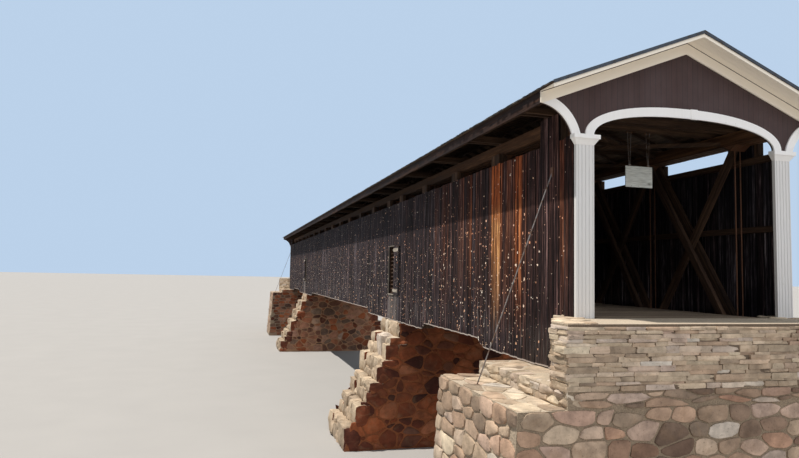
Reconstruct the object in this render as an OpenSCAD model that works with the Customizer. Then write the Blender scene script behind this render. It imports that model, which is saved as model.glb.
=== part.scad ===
// Covered timber bridge with arched portals, as a 1:2 scale model in millimetres.
// X runs across the bridge, Y along it with the near portal at -Y, and Z up from the lowest ground.
// Each side wall hides a truss of timber chords and crossing braces, drawn tight by upright iron rods.

/* [Overall] */
// Width over the side walls
body_w = 3150; // [2950:10:3350]
// Height of the roadway above the lowest ground
deck_z = 3500; // [3200:50:4200]
// Underside of the upper chord above the roadway
upper_chord_z = 2350; // [2300:10:2450]

/* [Spans] */
// Length of one truss panel
panel_len = 1830; // [1700:10:1950]
// From a truss's end to its first panel point
end_panel = 610; // [560:10:700]
// Panels in each side span
side_panels = 4; // [3:1:5]
// Panels in the main span
main_panels = 9; // [7:1:9]

/* [Masonry] */
// Masonry in front of each portal
approach_len = 800; // [500:20:900]
// From the portal to the abutment's river face
seat_len = 1500; // [1300:20:1700]
// Half width of the abutment's top
abutment_half_w = 2150; // [2000:10:2300]
// Reach of a wing wall along the siding, in from the portal
wing_reach = 375; // [250:5:450]
// Length in front of the portal over which a wing wall spreads
wing_flare = 480; // [300:10:500]
// Shoulder beside the abutment that takes the stays
shoulder_w = 550; // [450:10:650]
// Drop from the abutment's top to its shoulder
shoulder_drop = 180; // [100:10:260]
// Thickness of a pier along the bridge at its top
pier_t = 1750; // [1500:10:1900]
// Upright part of a pier's end below its top
pier_cheek = 340; // [250:10:450]
// How far a pier's end spreads at the ground
pier_spread = 1275; // [900:25:1400]
// Spread of every masonry face towards the ground
batter = 150; // [60:10:220]
// Rough steps down a pier's end
pier_steps = 5; // [3:1:7]

/* [Floor] */
// Thickness of the deck planks
deck_t = 50; // [35:1:60]
// Depth of the floor joists
joist_h = 100; // [80:5:120]
// Width of a floor joist
joist_w = 50; // [40:1:70]
// Floor joists on each side of the middle one
joists_half = 3; // [2:1:4]
// Depth of a floor beam
floor_beam_h = 180; // [140:5:200]
// Width of a floor beam
floor_beam_w = 125; // [90:5:160]

/* [Trusses] */
// Depth of the lower chord
lower_chord_h = 200; // [170:5:230]
// Depth of the upper chord
upper_chord_h = 175; // [150:5:200]
// Width of one chord timber
leaf_w = 65; // [55:1:70]
// Gap between chord timbers, for the rods
leaf_gap = 25; // [23:1:32]
// Depth of a brace
brace_d = 110; // [80:2:120]
// Radius of a truss rod
rod_r = 9; // [6:0.5:10]
// Thickness of a rod's washer plate
washer_t = 10; // [6:1:14]
// Reach of a rod past the chords, through its plate and nut
rod_end = 30; // [24:1:40]
// Length of a rod's washer plate along the chord
washer_l = 70; // [55:1:80]
// Depth of the bolster timbers under the lower chord
bolster_h = 150; // [120:5:180]
// Reach of a bolster to each side of a pier's centre
bolster_half = 2350; // [2200:10:2500]
// Reach of a bolster in from a portal
bolster_portal = 2675; // [2500:10:2800]
// Depth of the cross braces between the upper chords
cross_brace_h = 50; // [40:5:70]
// Width of the cross braces between the upper chords
cross_brace_w = 60; // [45:5:80]

/* [Side walls] */
// Thickness of the siding boards
siding_t = 25; // [18:1:32]
// Thickness of the rails that carry the siding
girt_t = 100; // [80:5:120]
// Height of a rail
girt_h = 80; // [60:5:100]
// Height of the ventilation slot under the upper chord
slot_h = 175; // [140:5:200]
// Width of the block in the slot at each panel point
slot_block_w = 300; // [200:10:360]
// From a portal to the full-height boards beside it
tab_from = 375; // [300:5:420]
// Width of the full-height boards beside a portal
tab_w = 525; // [450:5:600]
// Length over which the siding's lower edge curves up beside a bolster
step_len = 325; // [200:5:400]
// Width of a window
window_w = 480; // [400:10:560]
// Window sill against the roadway
window_sill = -25; // [-60:5:60]
// Height of a window
window_h = 1160; // [1000:10:1250]
// Width of the posts beside a window
louvre_post_w = 50; // [35:5:70]
// Slats in a window
slats = 12; // [10:1:14]
// Thickness of a slat
slat_t = 10; // [8:1:12]
// Width of a slat
slat_w = 90; // [70:5:100]
// Slope of a slat in degrees
slat_tilt = 40; // [30:5:50]
// Thickness of a shutter
shutter_t = 20; // [15:1:25]
// Width of the ledges across a shutter
ledge_w = 60; // [45:5:80]
// Length of a strap hinge
strap_l = 150; // [120:5:200]
// Width of a strap hinge
strap_w = 36; // [28:2:44]
// Thickness of a strap hinge
strap_t = 8; // [5:1:10]

/* [Roof] */
// Slope of the roof in degrees
roof_pitch = 21.9; // [19:0.1:25]
// Roof beyond the side walls
eave_overhang = 463; // [430:1:500]
// Roof beyond each portal
rake_overhang = 300; // [200:10:340]
// Thickness of the roof boarding and shingles
roof_t = 45; // [35:1:55]
// Depth of a rafter
rafter_d = 55; // [45:1:70]
// Width of a rafter
rafter_w = 50; // [35:1:60]
// Spacing of the rafters
rafter_pitch = 457.5; // [400:2.5:500]
// Depth of the tie beams
tie_h = 90; // [70:5:110]
// Width of a tie beam
tie_w = 45; // [35:1:60]
// Outer face of the eave plate beyond the side wall
plate_out = 305; // [260:5:330]
// Width of the eave plate
plate_w = 80; // [60:5:100]
// Height of the eave plate at its outer face
plate_h = 43; // [35:1:60]
// Depth of the side fascia
fascia_h = 152; // [120:2:170]
// Thickness of the fascia boards
fascia_t = 20; // [15:1:25]
// Thickness of the ridge board
ridge_t = 24; // [20:1:30]
// Thickness of the ridge cap
cap_t = 16; // [12:1:24]
// Width of the ridge cap down each slope
cap_w = 130; // [100:5:160]

/* [Portals] */
// Width of a pillar
pillar_w = 240; // [200:5:260]
// Depth of a pillar, which faces the end of the side wall
pillar_d = 45; // [40:1:70]
// Height of a pillar's shaft
pillar_h = 2050; // [1980:10:2080]
// Grooves down a pillar's face
flutes = 5; // [4:1:6]
// Radius of a groove
flute_r = 9; // [6:0.5:12]
// Height of the capital's sloping part
bell_h = 70; // [55:1:80]
// Height of the capital's square top
abacus_h = 50; // [40:1:60]
// Overhang of the capital's square top
abacus_out = 55; // [40:1:65]
// Overhang of the capital's sloping part
bell_out = 44; // [30:1:50]
// Rise of the portal arch
arch_rise = 320; // [280:5:330]
// Roundness of the portal arch, where 2 is an ellipse
arch_power = 2.25; // [2:0.05:2.6]
// Width of the arch trim
trim_w = 116; // [90:2:125]
// Thickness of the trim and frieze boards
trim_t = 20; // [15:1:25]
// Thickness of the portal boarding
facade_t = 25; // [18:1:32]
// Inner radius of the bracket arches under the eaves
bracket_r = 482; // [475:1:490]
// Middle of a bracket arch below its capital's top
bracket_drop = 135; // [120:5:160]
// Width of the block over the joint in the arch trim
splice_w = 100; // [80:5:130]
// From the middle of the arch to that block
splice_x = 45; // [30:5:80]
// Depth of the frieze board up the gable
frieze_h = 155; // [130:5:170]
// Depth of the outer rake board
rake_h = 45; // [35:1:60]

/* [Hanging board] */
// Width of the hanging board
board_w = 430; // [380:10:480]
// Height of the hanging board
board_h = 295; // [250:5:320]
// Thickness of the hanging board
board_t = 12; // [8:1:16]
// From the portal to the hanging board
board_y = 985; // [940:5:1050]
// Length of the hangers
hanger_l = 470; // [430:5:490]
// From the middle of the board to each pair of hangers
hanger_x = 150; // [120:5:170]
// Radius of a hanger's wire
leg_r = 3; // [2.5:0.5:4]
// Half the spread of a pair of wires at the top
leg_top = 28; // [24:1:36]
// Half the spread of a pair of wires at the board
leg_foot = 8; // [6:1:10]
// Radius of the pins that carry the hangers
pin_r = 4; // [3:0.5:5]
// Play of a hanger's eye on its pin
pin_play = 1; // [0.5:0.1:1.5]
// Thickness of a hanger's eye round its bore
eye_wall = 5; // [4:1:7]
// Width of a hanger's eye along the pin
eye_w = 8; // [6:1:10]
// Thickness of the lugs that hold a pin
lug_t = 6; // [5:1:8]
// Width of the clamp on the board's upper edge
clamp_w = 32; // [28:1:40]
// Thickness of that clamp
clamp_t = 18; // [16:1:24]
// Height of that clamp
clamp_h = 26; // [22:1:30]

/* [Stays] */
// Radius of a stay rod
stay_r = 8; // [6:0.5:10]
// From the portal to a stay's upper end
stay_top_y = 565; // [520:5:640]
// Upper end of a stay above the roadway
stay_top_z = 1800; // [1600:10:1900]
// From the portal to a stay's foot
stay_foot_y = 700; // [600:10:800]
// Foot of a stay beyond the side wall
stay_foot_out = 940; // [860:10:980]
// Width of the plates at the ends of a stay
stay_plate_w = 60; // [45:5:80]
// Thickness of those plates
stay_plate_t = 12; // [8:1:16]

/* [Hidden] */

fit = 5;          // clearance between pieces that only pass each other
through = 50;     // extra length of a cutting shape
seat_gap = 0.05;  // clearance at slanting and cut ends that are seated on another piece
step_gap = 100;   // from a bolster's end at a pier to the rise in the siding's lower edge
span_joint = 10;  // gap between the trusses that meet over a pier
$fn = 48;

stone = "tan";
old_timber = "saddlebrown";
dark_boards = [0.23, 0.17, 0.14];
facade_brown = [0.27, 0.19, 0.17];
off_white = [0.85, 0.85, 0.83];
cream = [0.82, 0.78, 0.69];
iron = [0.35, 0.25, 0.2];

// Lengths along the bridge
function span_len(panels) = 2 * end_panel + panels * panel_len;
main_half = span_len(main_panels) / 2;
portal_y = main_half + span_len(side_panels);
inner_y = portal_y - pillar_d - fit;
supports = [-main_half, main_half];
spans = [[-portal_y, side_panels], [-main_half, main_panels], [main_half, side_panels]];
points = [for (s = spans) for (i = [0 : s[1]]) s[0] + end_panel + i * panel_len];
// Each panel starts at a panel point, and its main braces rise towards the middle of its span
panels = [for (s = spans) for (i = [0 : s[1] - 1])
    [s[0] + end_panel + i * panel_len, i <= (s[1] - 1) / 2 ? 1 : -1]];

// Places across the bridge
wall_x = body_w / 2;
siding_x = wall_x - siding_t;
truss_out = siding_x - girt_t;
truss_w = 3 * leaf_w + 2 * leaf_gap;
truss_in = truss_out - truss_w;
leaf_x = [for (k = [0 : 2]) truss_out - leaf_w - k * (leaf_w + leaf_gap)];
rod_x = [for (k = [0 : 1]) leaf_x[k] - leaf_gap / 2];
opening_half = wall_x - pillar_w;

// Heights
chord_top = deck_z - deck_t - joist_h - floor_beam_h;
chord_bottom = chord_top - lower_chord_h;
seat_z = chord_bottom - bolster_h;
upper_z = deck_z + upper_chord_z;
upper_top = upper_z + upper_chord_h;
siding_top = upper_z - slot_h;
siding_low = seat_z + 4 * fit;
tie_top = upper_top + tie_h;
spring_z = deck_z + pillar_h + bell_h + abacus_h;

// Roof planes, as heights at a distance x from the middle
slope = tan(roof_pitch);
plate_x = wall_x + plate_out;
roof_half = wall_x + eave_overhang;
trim_half = roof_half - fascia_t;
function rafter_under(x) = tie_top + plate_h + (plate_x - x) * slope;
function roof_under(x) = rafter_under(x) + rafter_d / cos(roof_pitch);
function roof_top(x) = roof_under(x) + roof_t / cos(roof_pitch);
function roof_seat(x) = roof_under(x) - seat_gap;
tie_half = min(plate_x + plate_h / slope, trim_half) - 2 * fit;
frame_y = portal_y - trim_t - facade_t;

// Truss geometry: the angle blocks' faces are square to the braces
bearing_l = brace_d + 3 * fit;
clear_h = upper_z - chord_top;
first_guess = atan(clear_h / panel_len);
function brace_angle(a, n) = n == 0 ? a
    : brace_angle(atan((clear_h - bearing_l * cos(2 * a) / cos(a)) / panel_len), n - 1);
brace_a = brace_angle(first_guess, 12);
block_half = bearing_l * sin(brace_a);
block_h = bearing_l * cos(brace_a);
brace_l = norm([panel_len - block_half, clear_h - block_h]) - 2 * seat_gap;
rod_play = 2;

// Hanging board: pins under a cross timber carry the hangers' eyes
eye_bore_r = pin_r + pin_play;
eye_r = eye_bore_r + eye_wall;
pin_z = upper_top - eye_r - fit;
board_top = pin_z - hanger_l;

module both_sides() {
    children();
    mirror([1, 0, 0]) children();
}

module both_ends() {
    children();
    mirror([0, 1, 0]) children();
}

// A drawing in X and Z, as thick as t from y on
module along_y(y, t) {
    translate([0, y + t, 0]) rotate([90, 0, 0]) linear_extrude(t) children();
}

// A drawing in Y and Z, as thick as t from x on
module along_x(x, t) {
    translate([x, 0, 0]) rotate([90, 0, 90]) linear_extrude(t) children();
}

module rod_between(a, b, r) {
    d = b - a;
    translate(a)
        rotate([0, acos(d[2] / norm(d)), atan2(d[1], d[0])])
            cylinder(h = norm(d), r = r);
}

// Masonry

// Half an outline, given from the middle out, joined to its mirror image
function reversed(list) = [for (i = [len(list) - 1 : -1 : 0]) list[i]];
function both_halves(half) = concat(half, [for (q = reversed(half)) [-q[0], q[1]]]);

// The stone that two outlines share: one seen along the bridge, given as its half, and one seen across it
module masonry(half, y0, y1) {
    intersection() {
        along_y(y0, y1 - y0) polygon(both_halves(half));
        children();
    }
}

module far_abutment() {
    river = portal_y - seat_len;
    back = portal_y + approach_len;
    shoulder_z = seat_z - shoulder_drop;
    shoulder = abutment_half_w + shoulder_w;
    color(stone)
        masonry([[shoulder + batter, 0], [shoulder, shoulder_z], [abutment_half_w, shoulder_z],
                 [abutment_half_w, seat_z]], river - batter, back)
            along_x(-shoulder - batter, 2 * (shoulder + batter))
                polygon([[river - batter, 0], [back, 0], [back, seat_z], [river, seat_z]]);
}

module near_abutment() mirror([0, 1, 0]) far_abutment();

module far_wing_walls() {
    back = portal_y + approach_len;
    wing_x = wall_x + fit;
    color(stone)
        translate([0, 0, seat_z])
            linear_extrude(deck_z - seat_z)
                polygon(both_halves([[abutment_half_w, back], [abutment_half_w, portal_y + wing_flare],
                                     [wing_x, portal_y - wing_reach], [wing_x, portal_y - pillar_d]]));
}

module near_wing_walls() mirror([0, 1, 0]) far_wing_walls();

module far_pier() {
    cheek_z = seat_z - pier_cheek;
    dx = pier_spread / pier_steps;
    dz = cheek_z / pier_steps;
    ledge = 0.45;
    steps = [for (i = [0 : pier_steps - 1])
        each [[wall_x + i * dx, cheek_z - i * dz], [wall_x + (i + ledge) * dx, cheek_z - i * dz]]];
    reach = wall_x + pier_spread;
    near = main_half - pier_t / 2;
    far = main_half + pier_t / 2;
    color(stone)
        masonry(concat([[reach, 0]], reversed(steps), [[wall_x, seat_z]]), near - batter, far + batter)
            along_x(-reach, 2 * reach)
                polygon([[near - batter, 0], [far + batter, 0], [far, seat_z], [near, seat_z]]);
}

module near_pier() mirror([0, 1, 0]) far_pier();

// Trusses

// Length of a span's chords, cut back behind the portals
function chord_from(s) = max(s[0] + span_joint / 2, -inner_y);
function chord_to(s) = min(s[0] + span_len(s[1]) - span_joint / 2, inner_y);

module chord(z, h) {
    color(old_timber)
        for (s = spans, x = leaf_x)
            translate([x, chord_from(s), z]) cube([leaf_w, chord_to(s) - chord_from(s), h]);
}

module right_lower_chord() chord(chord_bottom, lower_chord_h);
module left_lower_chord() mirror([1, 0, 0]) right_lower_chord();
module right_upper_chord() chord(upper_z, upper_chord_h);
module left_upper_chord() mirror([1, 0, 0]) right_upper_chord();

// One end of a bolster, rounded off below and drawn from its lower edge up; side is -1 at its near end
function bolster_end(y, side) = [for (a = [90 : -15 : 0])
    [y + side * bolster_h * (cos(a) - 1), chord_bottom - bolster_h * sin(a)]];

// Notches that clear the rods and plates under the lower chord between from and to
module bolster_cuts(from, to) {
    reach = washer_l / 2 + fit;
    for (p = points)
        if (p > from - reach && p < to + reach)
            translate([truss_in - fit, p - reach, chord_bottom - rod_end - fit])
                cube([truss_w + 2 * fit, 2 * reach, rod_end + fit + through]);
}

module bolsters() {
    color(old_timber) both_sides() both_ends() {
        difference() {
            along_x(truss_in, truss_w)
                polygon(concat(bolster_end(main_half + bolster_half, 1),
                               reversed(bolster_end(main_half - bolster_half, -1))));
            bolster_cuts(main_half - bolster_half, main_half + bolster_half);
        }
        difference() {
            along_x(truss_in, truss_w)
                polygon(concat([[inner_y, seat_z], [inner_y, chord_bottom]],
                               reversed(bolster_end(portal_y - bolster_portal, -1))));
            bolster_cuts(portal_y - bolster_portal, inner_y);
        }
    }
}

module brace(x, panel, rise) {
    y = rise > 0 ? panel[0] + block_half / 2 : panel[0] + panel_len - block_half / 2;
    translate([x, y, chord_top + block_h / 2])
        rotate([rise > 0 ? brace_a : 180 - brace_a, 0, 0])
            translate([0, seat_gap, -brace_d / 2]) cube([leaf_w, brace_l, brace_d]);
}

// Two main braces in each panel, with a counter brace crossing between them
module right_braces() {
    color(old_timber)
        for (p = panels) {
            brace(leaf_x[0], p, p[1]);
            brace(leaf_x[2], p, p[1]);
            brace(leaf_x[1], p, -p[1]);
        }
}

module left_braces() mirror([1, 0, 0]) right_braces();

// At each panel point two rods run from under the lower chord to over the upper one
module truss_rods() {
    color(iron) both_sides()
        for (p = points, x = rod_x)
            translate([x, p, chord_bottom - rod_end])
                cylinder(h = upper_top - chord_bottom + 2 * rod_end, r = rod_r);
}

// Plates under the nuts of the truss rods, and the ones that hold the stays
module washer_plates() {
    color(iron) both_sides() both_ends() stay_plates();
    color(iron) both_sides()
        for (p = points, z = [chord_bottom - washer_t, upper_top])
            difference() {
                translate([truss_in, p - washer_l / 2, z]) cube([truss_w, washer_l, washer_t]);
                for (x = rod_x)
                    translate([x, p, z - through]) cylinder(h = 2 * through, r = rod_r + rod_play);
            }
}

module angle_block() {
    difference() {
        along_x(truss_in, truss_w) polygon([[-block_half, 0], [block_half, 0], [0, block_h]]);
        for (x = rod_x)
            translate([x, 0, -through]) cylinder(h = block_h + 2 * through, r = rod_r + rod_play);
    }
}

module angle_blocks() {
    color(iron) both_sides()
        for (p = points) {
            translate([0, p, chord_top]) angle_block();
            translate([0, p, upper_z]) mirror([0, 0, 1]) angle_block();
        }
}

// Floor

floor_y = concat([for (p = panels, f = [0.25, 0.75]) p[0] + f * panel_len],
                 [for (s = spans, y = [s[0] + end_panel / 2, s[0] + span_len(s[1]) - end_panel / 2]) y]);

module floor_beams() {
    half = truss_out - fit;
    color(old_timber)
        for (y = floor_y)
            translate([-half, y - floor_beam_w / 2, chord_top]) cube([2 * half, floor_beam_w, floor_beam_h]);
}

module floor_joists() {
    pitch = (truss_in - 4 * fit - joist_w) / (joists_half + 0.5);
    color(old_timber)
        for (i = [-joists_half : joists_half])
            translate([i * pitch - joist_w / 2, -inner_y, deck_z - deck_t - joist_h])
                cube([joist_w, 2 * inner_y, joist_h]);
}

module deck() {
    half = truss_in - 3 * fit;
    color("burlywood")
        translate([-half, -inner_y, deck_z - deck_t]) cube([2 * half, 2 * inner_y, deck_t]);
}

// Side walls

sill_z = deck_z + window_sill;
head_z = sill_z + window_h;

module right_girts() {
    color(old_timber)
        for (z = [chord_bottom + girt_h / 2, sill_z - girt_h, head_z, siding_top - girt_h])
            translate([truss_out, -inner_y, z]) cube([girt_t, 2 * inner_y, girt_h]);
}

module left_girts() mirror([1, 0, 0]) right_girts();

// Lower edge of half the siding, from the middle of the bridge to a portal
function ease(y, from, to) = [for (t = [0 : 0.25 : 1])
    [y + t * step_len, from + (to - from) * (1 - cos(180 * t)) / 2]];
low_half = bolster_half + step_gap;
siding_edge = concat(
    ease(main_half - low_half - step_len, chord_bottom, siding_low),
    ease(main_half + low_half, siding_low, chord_bottom),
    ease(portal_y - bolster_portal - 4 * fit - step_len, chord_bottom, siding_low),
    [[inner_y, siding_low], [inner_y, siding_top]]);

module right_siding() {
    color(dark_boards)
        difference() {
            along_x(siding_x, siding_t) polygon(both_halves(siding_edge));
            for (y = supports)
                translate([siding_x - through, y - window_w / 2, sill_z])
                    cube([siding_t + 2 * through, window_w, window_h]);
        }
}

module left_siding() mirror([1, 0, 0]) right_siding();

// Blocks that divide the slot at the panel points, and the full-height boards next to each portal
module right_slot_blocks() {
    last = len(points) - 1;
    color(dark_boards) {
        for (i = [1 : last - 1])
            translate([truss_out, points[i] - slot_block_w / 2, siding_top])
                cube([girt_t, slot_block_w, slot_h]);
        both_ends()
            translate([truss_out, portal_y - tab_from - tab_w, siding_top])
                cube([wall_x - truss_out, tab_w, upper_top - siding_top]);
    }
}

module left_slot_blocks() mirror([1, 0, 0]) right_slot_blocks();

// Sloping slats between two posts, inside each window
module louvre() {
    pitch = window_h / slats;
    for (y = [-window_w / 2 - louvre_post_w, window_w / 2])
        translate([truss_out, y, sill_z]) cube([girt_t, louvre_post_w, window_h]);
    for (i = [0 : slats - 1])
        translate([truss_out + girt_t / 2, 0, sill_z + (i + 0.5) * pitch])
            rotate([0, slat_tilt, 0])
                cube([slat_w, window_w - 2 * seat_gap, slat_t], center = true);
}

module right_louvres() {
    color(old_timber)
        for (y = supports) translate([0, y, 0]) louvre();
}

module left_louvres() mirror([1, 0, 0]) right_louvres();

// A shutter stands open, flat against the wall, on two strap hinges at the window's edge
module shutter() {
    edge = main_half + window_w / 2;
    face = wall_x + fit;
    width = window_w + 2 * fit;
    translate([face, edge + 2 * fit, sill_z]) cube([shutter_t, width, window_h]);
    for (z = [sill_z + ledge_w, head_z - 2 * ledge_w]) {
        translate([face + shutter_t, edge + 2 * fit, z]) cube([strap_t, strap_l, ledge_w]);
        translate([wall_x, edge, z + (ledge_w - strap_w) / 2])
            cube([fit + shutter_t + strap_t, strap_w, strap_w]);
    }
}

module shutters() {
    color(dark_boards) both_sides() both_ends() shutter();
}

// Roof

module tie_beams() {
    color(old_timber) {
        for (p = points, side = [-1, 1])
            translate([-tie_half, p + side * (washer_l / 2 + fit + tie_w / 2) - tie_w / 2, upper_top])
                cube([2 * tie_half, tie_w, tie_h]);
        translate([-truss_out, -portal_y + board_y - tie_w, upper_top])
            cube([2 * truss_out, 2 * tie_w, tie_h]);
    }
}

// In each panel two timbers cross between the upper chords, one over the other
module cross_brace(side) {
    run = panel_len - 4 * block_half;
    rotate([0, 0, side * atan(run / (2 * truss_in))])
        cube([norm([2 * truss_in, run]) + 4 * cross_brace_w, cross_brace_w, cross_brace_h], center = true);
}

module lateral_braces() {
    color(old_timber)
        for (p = panels, side = [-1, 1])
            intersection() {
                translate([-truss_in, p[0], upper_z]) cube([2 * truss_in, panel_len, upper_chord_h]);
                translate([0, p[0] + panel_len / 2,
                           upper_z + upper_chord_h / 2 + side * (cross_brace_h + fit) / 2])
                    cross_brace(side);
            }
}

rafter_last = frame_y - rafter_w / 2;
rafter_n = floor((rafter_last - 1.5 * rafter_w) / rafter_pitch);
rafter_y = concat([-rafter_last], [for (k = [-rafter_n : rafter_n]) k * rafter_pitch], [rafter_last]);

module right_rafters() {
    top = ridge_t / 2;
    color(old_timber)
        for (y = rafter_y)
            along_y(y - rafter_w / 2, rafter_w)
                polygon([[top, rafter_under(top)], [trim_half, rafter_under(trim_half)],
                         [trim_half, roof_seat(trim_half)], [top, roof_seat(top)]]);
}

module left_rafters() mirror([1, 0, 0]) right_rafters();

module ridge_board() {
    half = ridge_t / 2;
    bottom = rafter_under(0) - ridge_t;
    color(old_timber)
        along_y(-frame_y, 2 * frame_y)
            polygon([[-half, bottom], [half, bottom], [half, roof_seat(half)], [0, roof_seat(0)],
                     [-half, roof_seat(half)]]);
}

module eave_plates() {
    inside = plate_x - plate_w;
    color(old_timber) both_sides()
        along_y(-frame_y, 2 * frame_y)
            polygon([[inside, tie_top], [plate_x, tie_top], [plate_x, rafter_under(plate_x) - seat_gap],
                     [inside, rafter_under(inside) - seat_gap]]);
}

module eave_fascias() {
    bottom = roof_under(roof_half) - fascia_h;
    reach = portal_y - trim_t;
    color(dark_boards) both_sides()
        along_y(-reach, 2 * reach)
            polygon([[trim_half, bottom], [roof_half, bottom], [roof_half, roof_seat(roof_half)],
                     [trim_half, roof_seat(trim_half)]]);
}

module right_roof() {
    reach = portal_y + rake_overhang;
    color("dimgray")
        along_y(-reach, 2 * reach)
            polygon([[0, roof_under(0)], [roof_half, roof_under(roof_half)],
                     [roof_half, roof_top(roof_half)], [0, roof_top(0)]]);
}

module left_roof() mirror([1, 0, 0]) right_roof();

module ridge_cap() {
    reach = portal_y + rake_overhang;
    color("dimgray") both_sides()
        along_y(-reach, 2 * reach)
            translate([0, seat_gap])
                polygon([[seat_gap, roof_top(seat_gap)], [cap_w, roof_top(cap_w)],
                         [cap_w, roof_top(cap_w) + cap_t], [seat_gap, roof_top(seat_gap) + cap_t]]);
}

// Portals

// Upper edge of an arch that springs from the capitals, flatter than an ellipse
function arch_curve(half, rise) = [for (a = [0 : 5 : 180])
    [half * sign(cos(a)) * pow(abs(cos(a)), 2 / arch_power), spring_z + rise * pow(sin(a), 2 / arch_power)]];

module arch_opening() {
    polygon(concat([[opening_half, spring_z - through]], arch_curve(opening_half, arch_rise),
                   [[-opening_half, spring_z - through]]));
}

// Round openings under the eaves, one beyond each pillar
bracket_x = wall_x + abacus_out + sqrt(pow(bracket_r, 2) - pow(bracket_drop, 2));
bracket_z = spring_z - bracket_drop;

module bracket_openings(r) {
    for (side = [-1, 1]) translate([side * bracket_x, bracket_z]) circle(r = r, $fn = 96);
}

// A line that follows both slopes at a height under the roof, out to half on each side
function under_roof(drop, half) = [[-half, roof_seat(half) - drop], [0, roof_seat(0) - drop],
                                   [half, roof_seat(half) - drop]];

module facade() {
    color(facade_brown)
        along_y(frame_y, facade_t)
            difference() {
                polygon(concat([[-trim_half, spring_z]], under_roof(0, trim_half), [[trim_half, spring_z]]));
                arch_opening();
                bracket_openings(bracket_r);
            }
}

module far_facade() facade();
module near_facade() mirror([0, 1, 0]) facade();

module far_frieze() {
    outer = portal_y + rake_overhang - fascia_t;
    color(cream) {
        along_y(portal_y - trim_t, trim_t)
            difference() {
                polygon(concat(under_roof(0, roof_half), reversed(under_roof(frieze_h, roof_half))));
                bracket_openings(bracket_r);
            }
        along_y(outer, fascia_t)
            polygon(concat(under_roof(0, roof_half), reversed(under_roof(rake_h, roof_half))));
    }
}

module near_frieze() mirror([0, 1, 0]) far_frieze();

// The trim round the arch, a bracket arch on each side, and the block over the arch's joint
module arch_trim() {
    along_y(portal_y - trim_t, trim_t) {
        difference() {
            polygon(arch_curve(opening_half + trim_w, arch_rise + trim_w));
            arch_opening();
        }
        intersection() {
            difference() {
                bracket_openings(bracket_r + trim_w - fit);
                bracket_openings(bracket_r);
            }
            polygon(concat([[-trim_half, spring_z]], under_roof(frieze_h + seat_gap, trim_half),
                           [[trim_half, spring_z]]));
        }
    }
    translate([splice_x, portal_y - trim_t, spring_z + arch_rise - fit])
        cube([splice_w, trim_t + fit, trim_w + 2 * fit]);
}

module arch_trims() {
    color(off_white) both_ends() arch_trim();
}

module pillar() {
    pitch = pillar_w / flutes;
    translate([opening_half, portal_y, deck_z])
        linear_extrude(pillar_h)
            difference() {
                translate([0, -pillar_d]) square([pillar_w, pillar_d]);
                for (i = [0 : flutes - 1]) translate([(i + 0.5) * pitch, 0]) circle(r = flute_r, $fn = 24);
            }
}

module pillars() {
    color(off_white) both_sides() both_ends() pillar();
}

// A square top on a part that slopes out from the shaft on three sides
module capital() {
    bell_z = deck_z + pillar_h;
    abacus_z = bell_z + bell_h;
    back = portal_y - pillar_d;
    intersection() {
        along_y(back, pillar_d + abacus_out)
            polygon([[opening_half, bell_z], [wall_x, bell_z], [wall_x + bell_out, abacus_z],
                     [opening_half - bell_out, abacus_z]]);
        along_x(opening_half - abacus_out, pillar_w + 2 * abacus_out)
            polygon([[back, bell_z], [portal_y, bell_z], [portal_y + bell_out, abacus_z], [back, abacus_z]]);
    }
    translate([opening_half - abacus_out, back, abacus_z])
        cube([pillar_w + 2 * abacus_out, pillar_d + abacus_out, abacus_h]);
}

module capitals() {
    color(off_white) both_sides() both_ends() capital();
}

// Stays

stay_top = [wall_x, portal_y - stay_top_y, deck_z + stay_top_z];
stay_foot = [wall_x + stay_foot_out, portal_y - stay_foot_y, seat_z - shoulder_drop];

// The plates at the two ends of a stay, on the wall and on the masonry
module stay_plates() {
    half = stay_plate_w / 2;
    translate(stay_top - [0, half, 2 * half]) cube([stay_plate_t, 2 * half, 4 * half]);
    translate(stay_foot - [half, half, 0]) cube([2 * half, 2 * half, stay_plate_t]);
}

module stays() {
    color("silver") both_sides() both_ends()
        intersection() {
            rod_between(stay_top, stay_foot, stay_r);
            translate([wall_x + stay_plate_t + seat_gap, 0, stay_foot.z + stay_plate_t + seat_gap])
                cube([2 * stay_foot_out, portal_y, deck_z + upper_top]);
        }
}

// Hanging board

// Places the children at each pair of hangers, with the pin's axis as their origin
module at_hangers() {
    for (side = [-1, 1])
        translate([side * hanger_x, -portal_y + board_y, pin_z]) children();
}

// A pin between two lugs under the cross timber
module board_hooks() {
    reach = leg_top + eye_w + lug_t;
    color(iron)
        at_hangers() {
            translate([-reach, 0, 0]) rotate([0, 90, 0]) cylinder(h = 2 * reach, r = pin_r);
            for (side = [-1, 1])
                translate([side * (reach - lug_t / 2) - lug_t / 2, -eye_r, -pin_r - fit])
                    cube([lug_t, 2 * eye_r, upper_top - pin_z + pin_r + fit]);
        }
}

module eye() {
    linear_extrude(eye_w)
        difference() {
            circle(r = eye_r);
            circle(r = eye_bore_r);
        }
}

// Two legs run from eyes on the pin to a clamp on the board's upper edge
module board_hangers() {
    color(iron)
        at_hangers() {
            for (side = [-1, 1]) {
                leg_end = [side * leg_foot, 0, -hanger_l + clamp_h / 2];
                translate([side * leg_top - eye_w / 2, 0, 0]) rotate([0, 90, 0]) eye();
                rod_between([side * leg_top, 0, -(eye_bore_r + eye_wall / 2)], leg_end, leg_r);
            }
            translate([-clamp_w / 2, -clamp_t / 2, -hanger_l]) cube([clamp_w, clamp_t, clamp_h]);
        }
}

module hanging_board() {
    color("lightgray")
        translate([-board_w / 2, -portal_y + board_y - board_t / 2, board_top - board_h])
            cube([board_w, board_t, board_h]);
}

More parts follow.
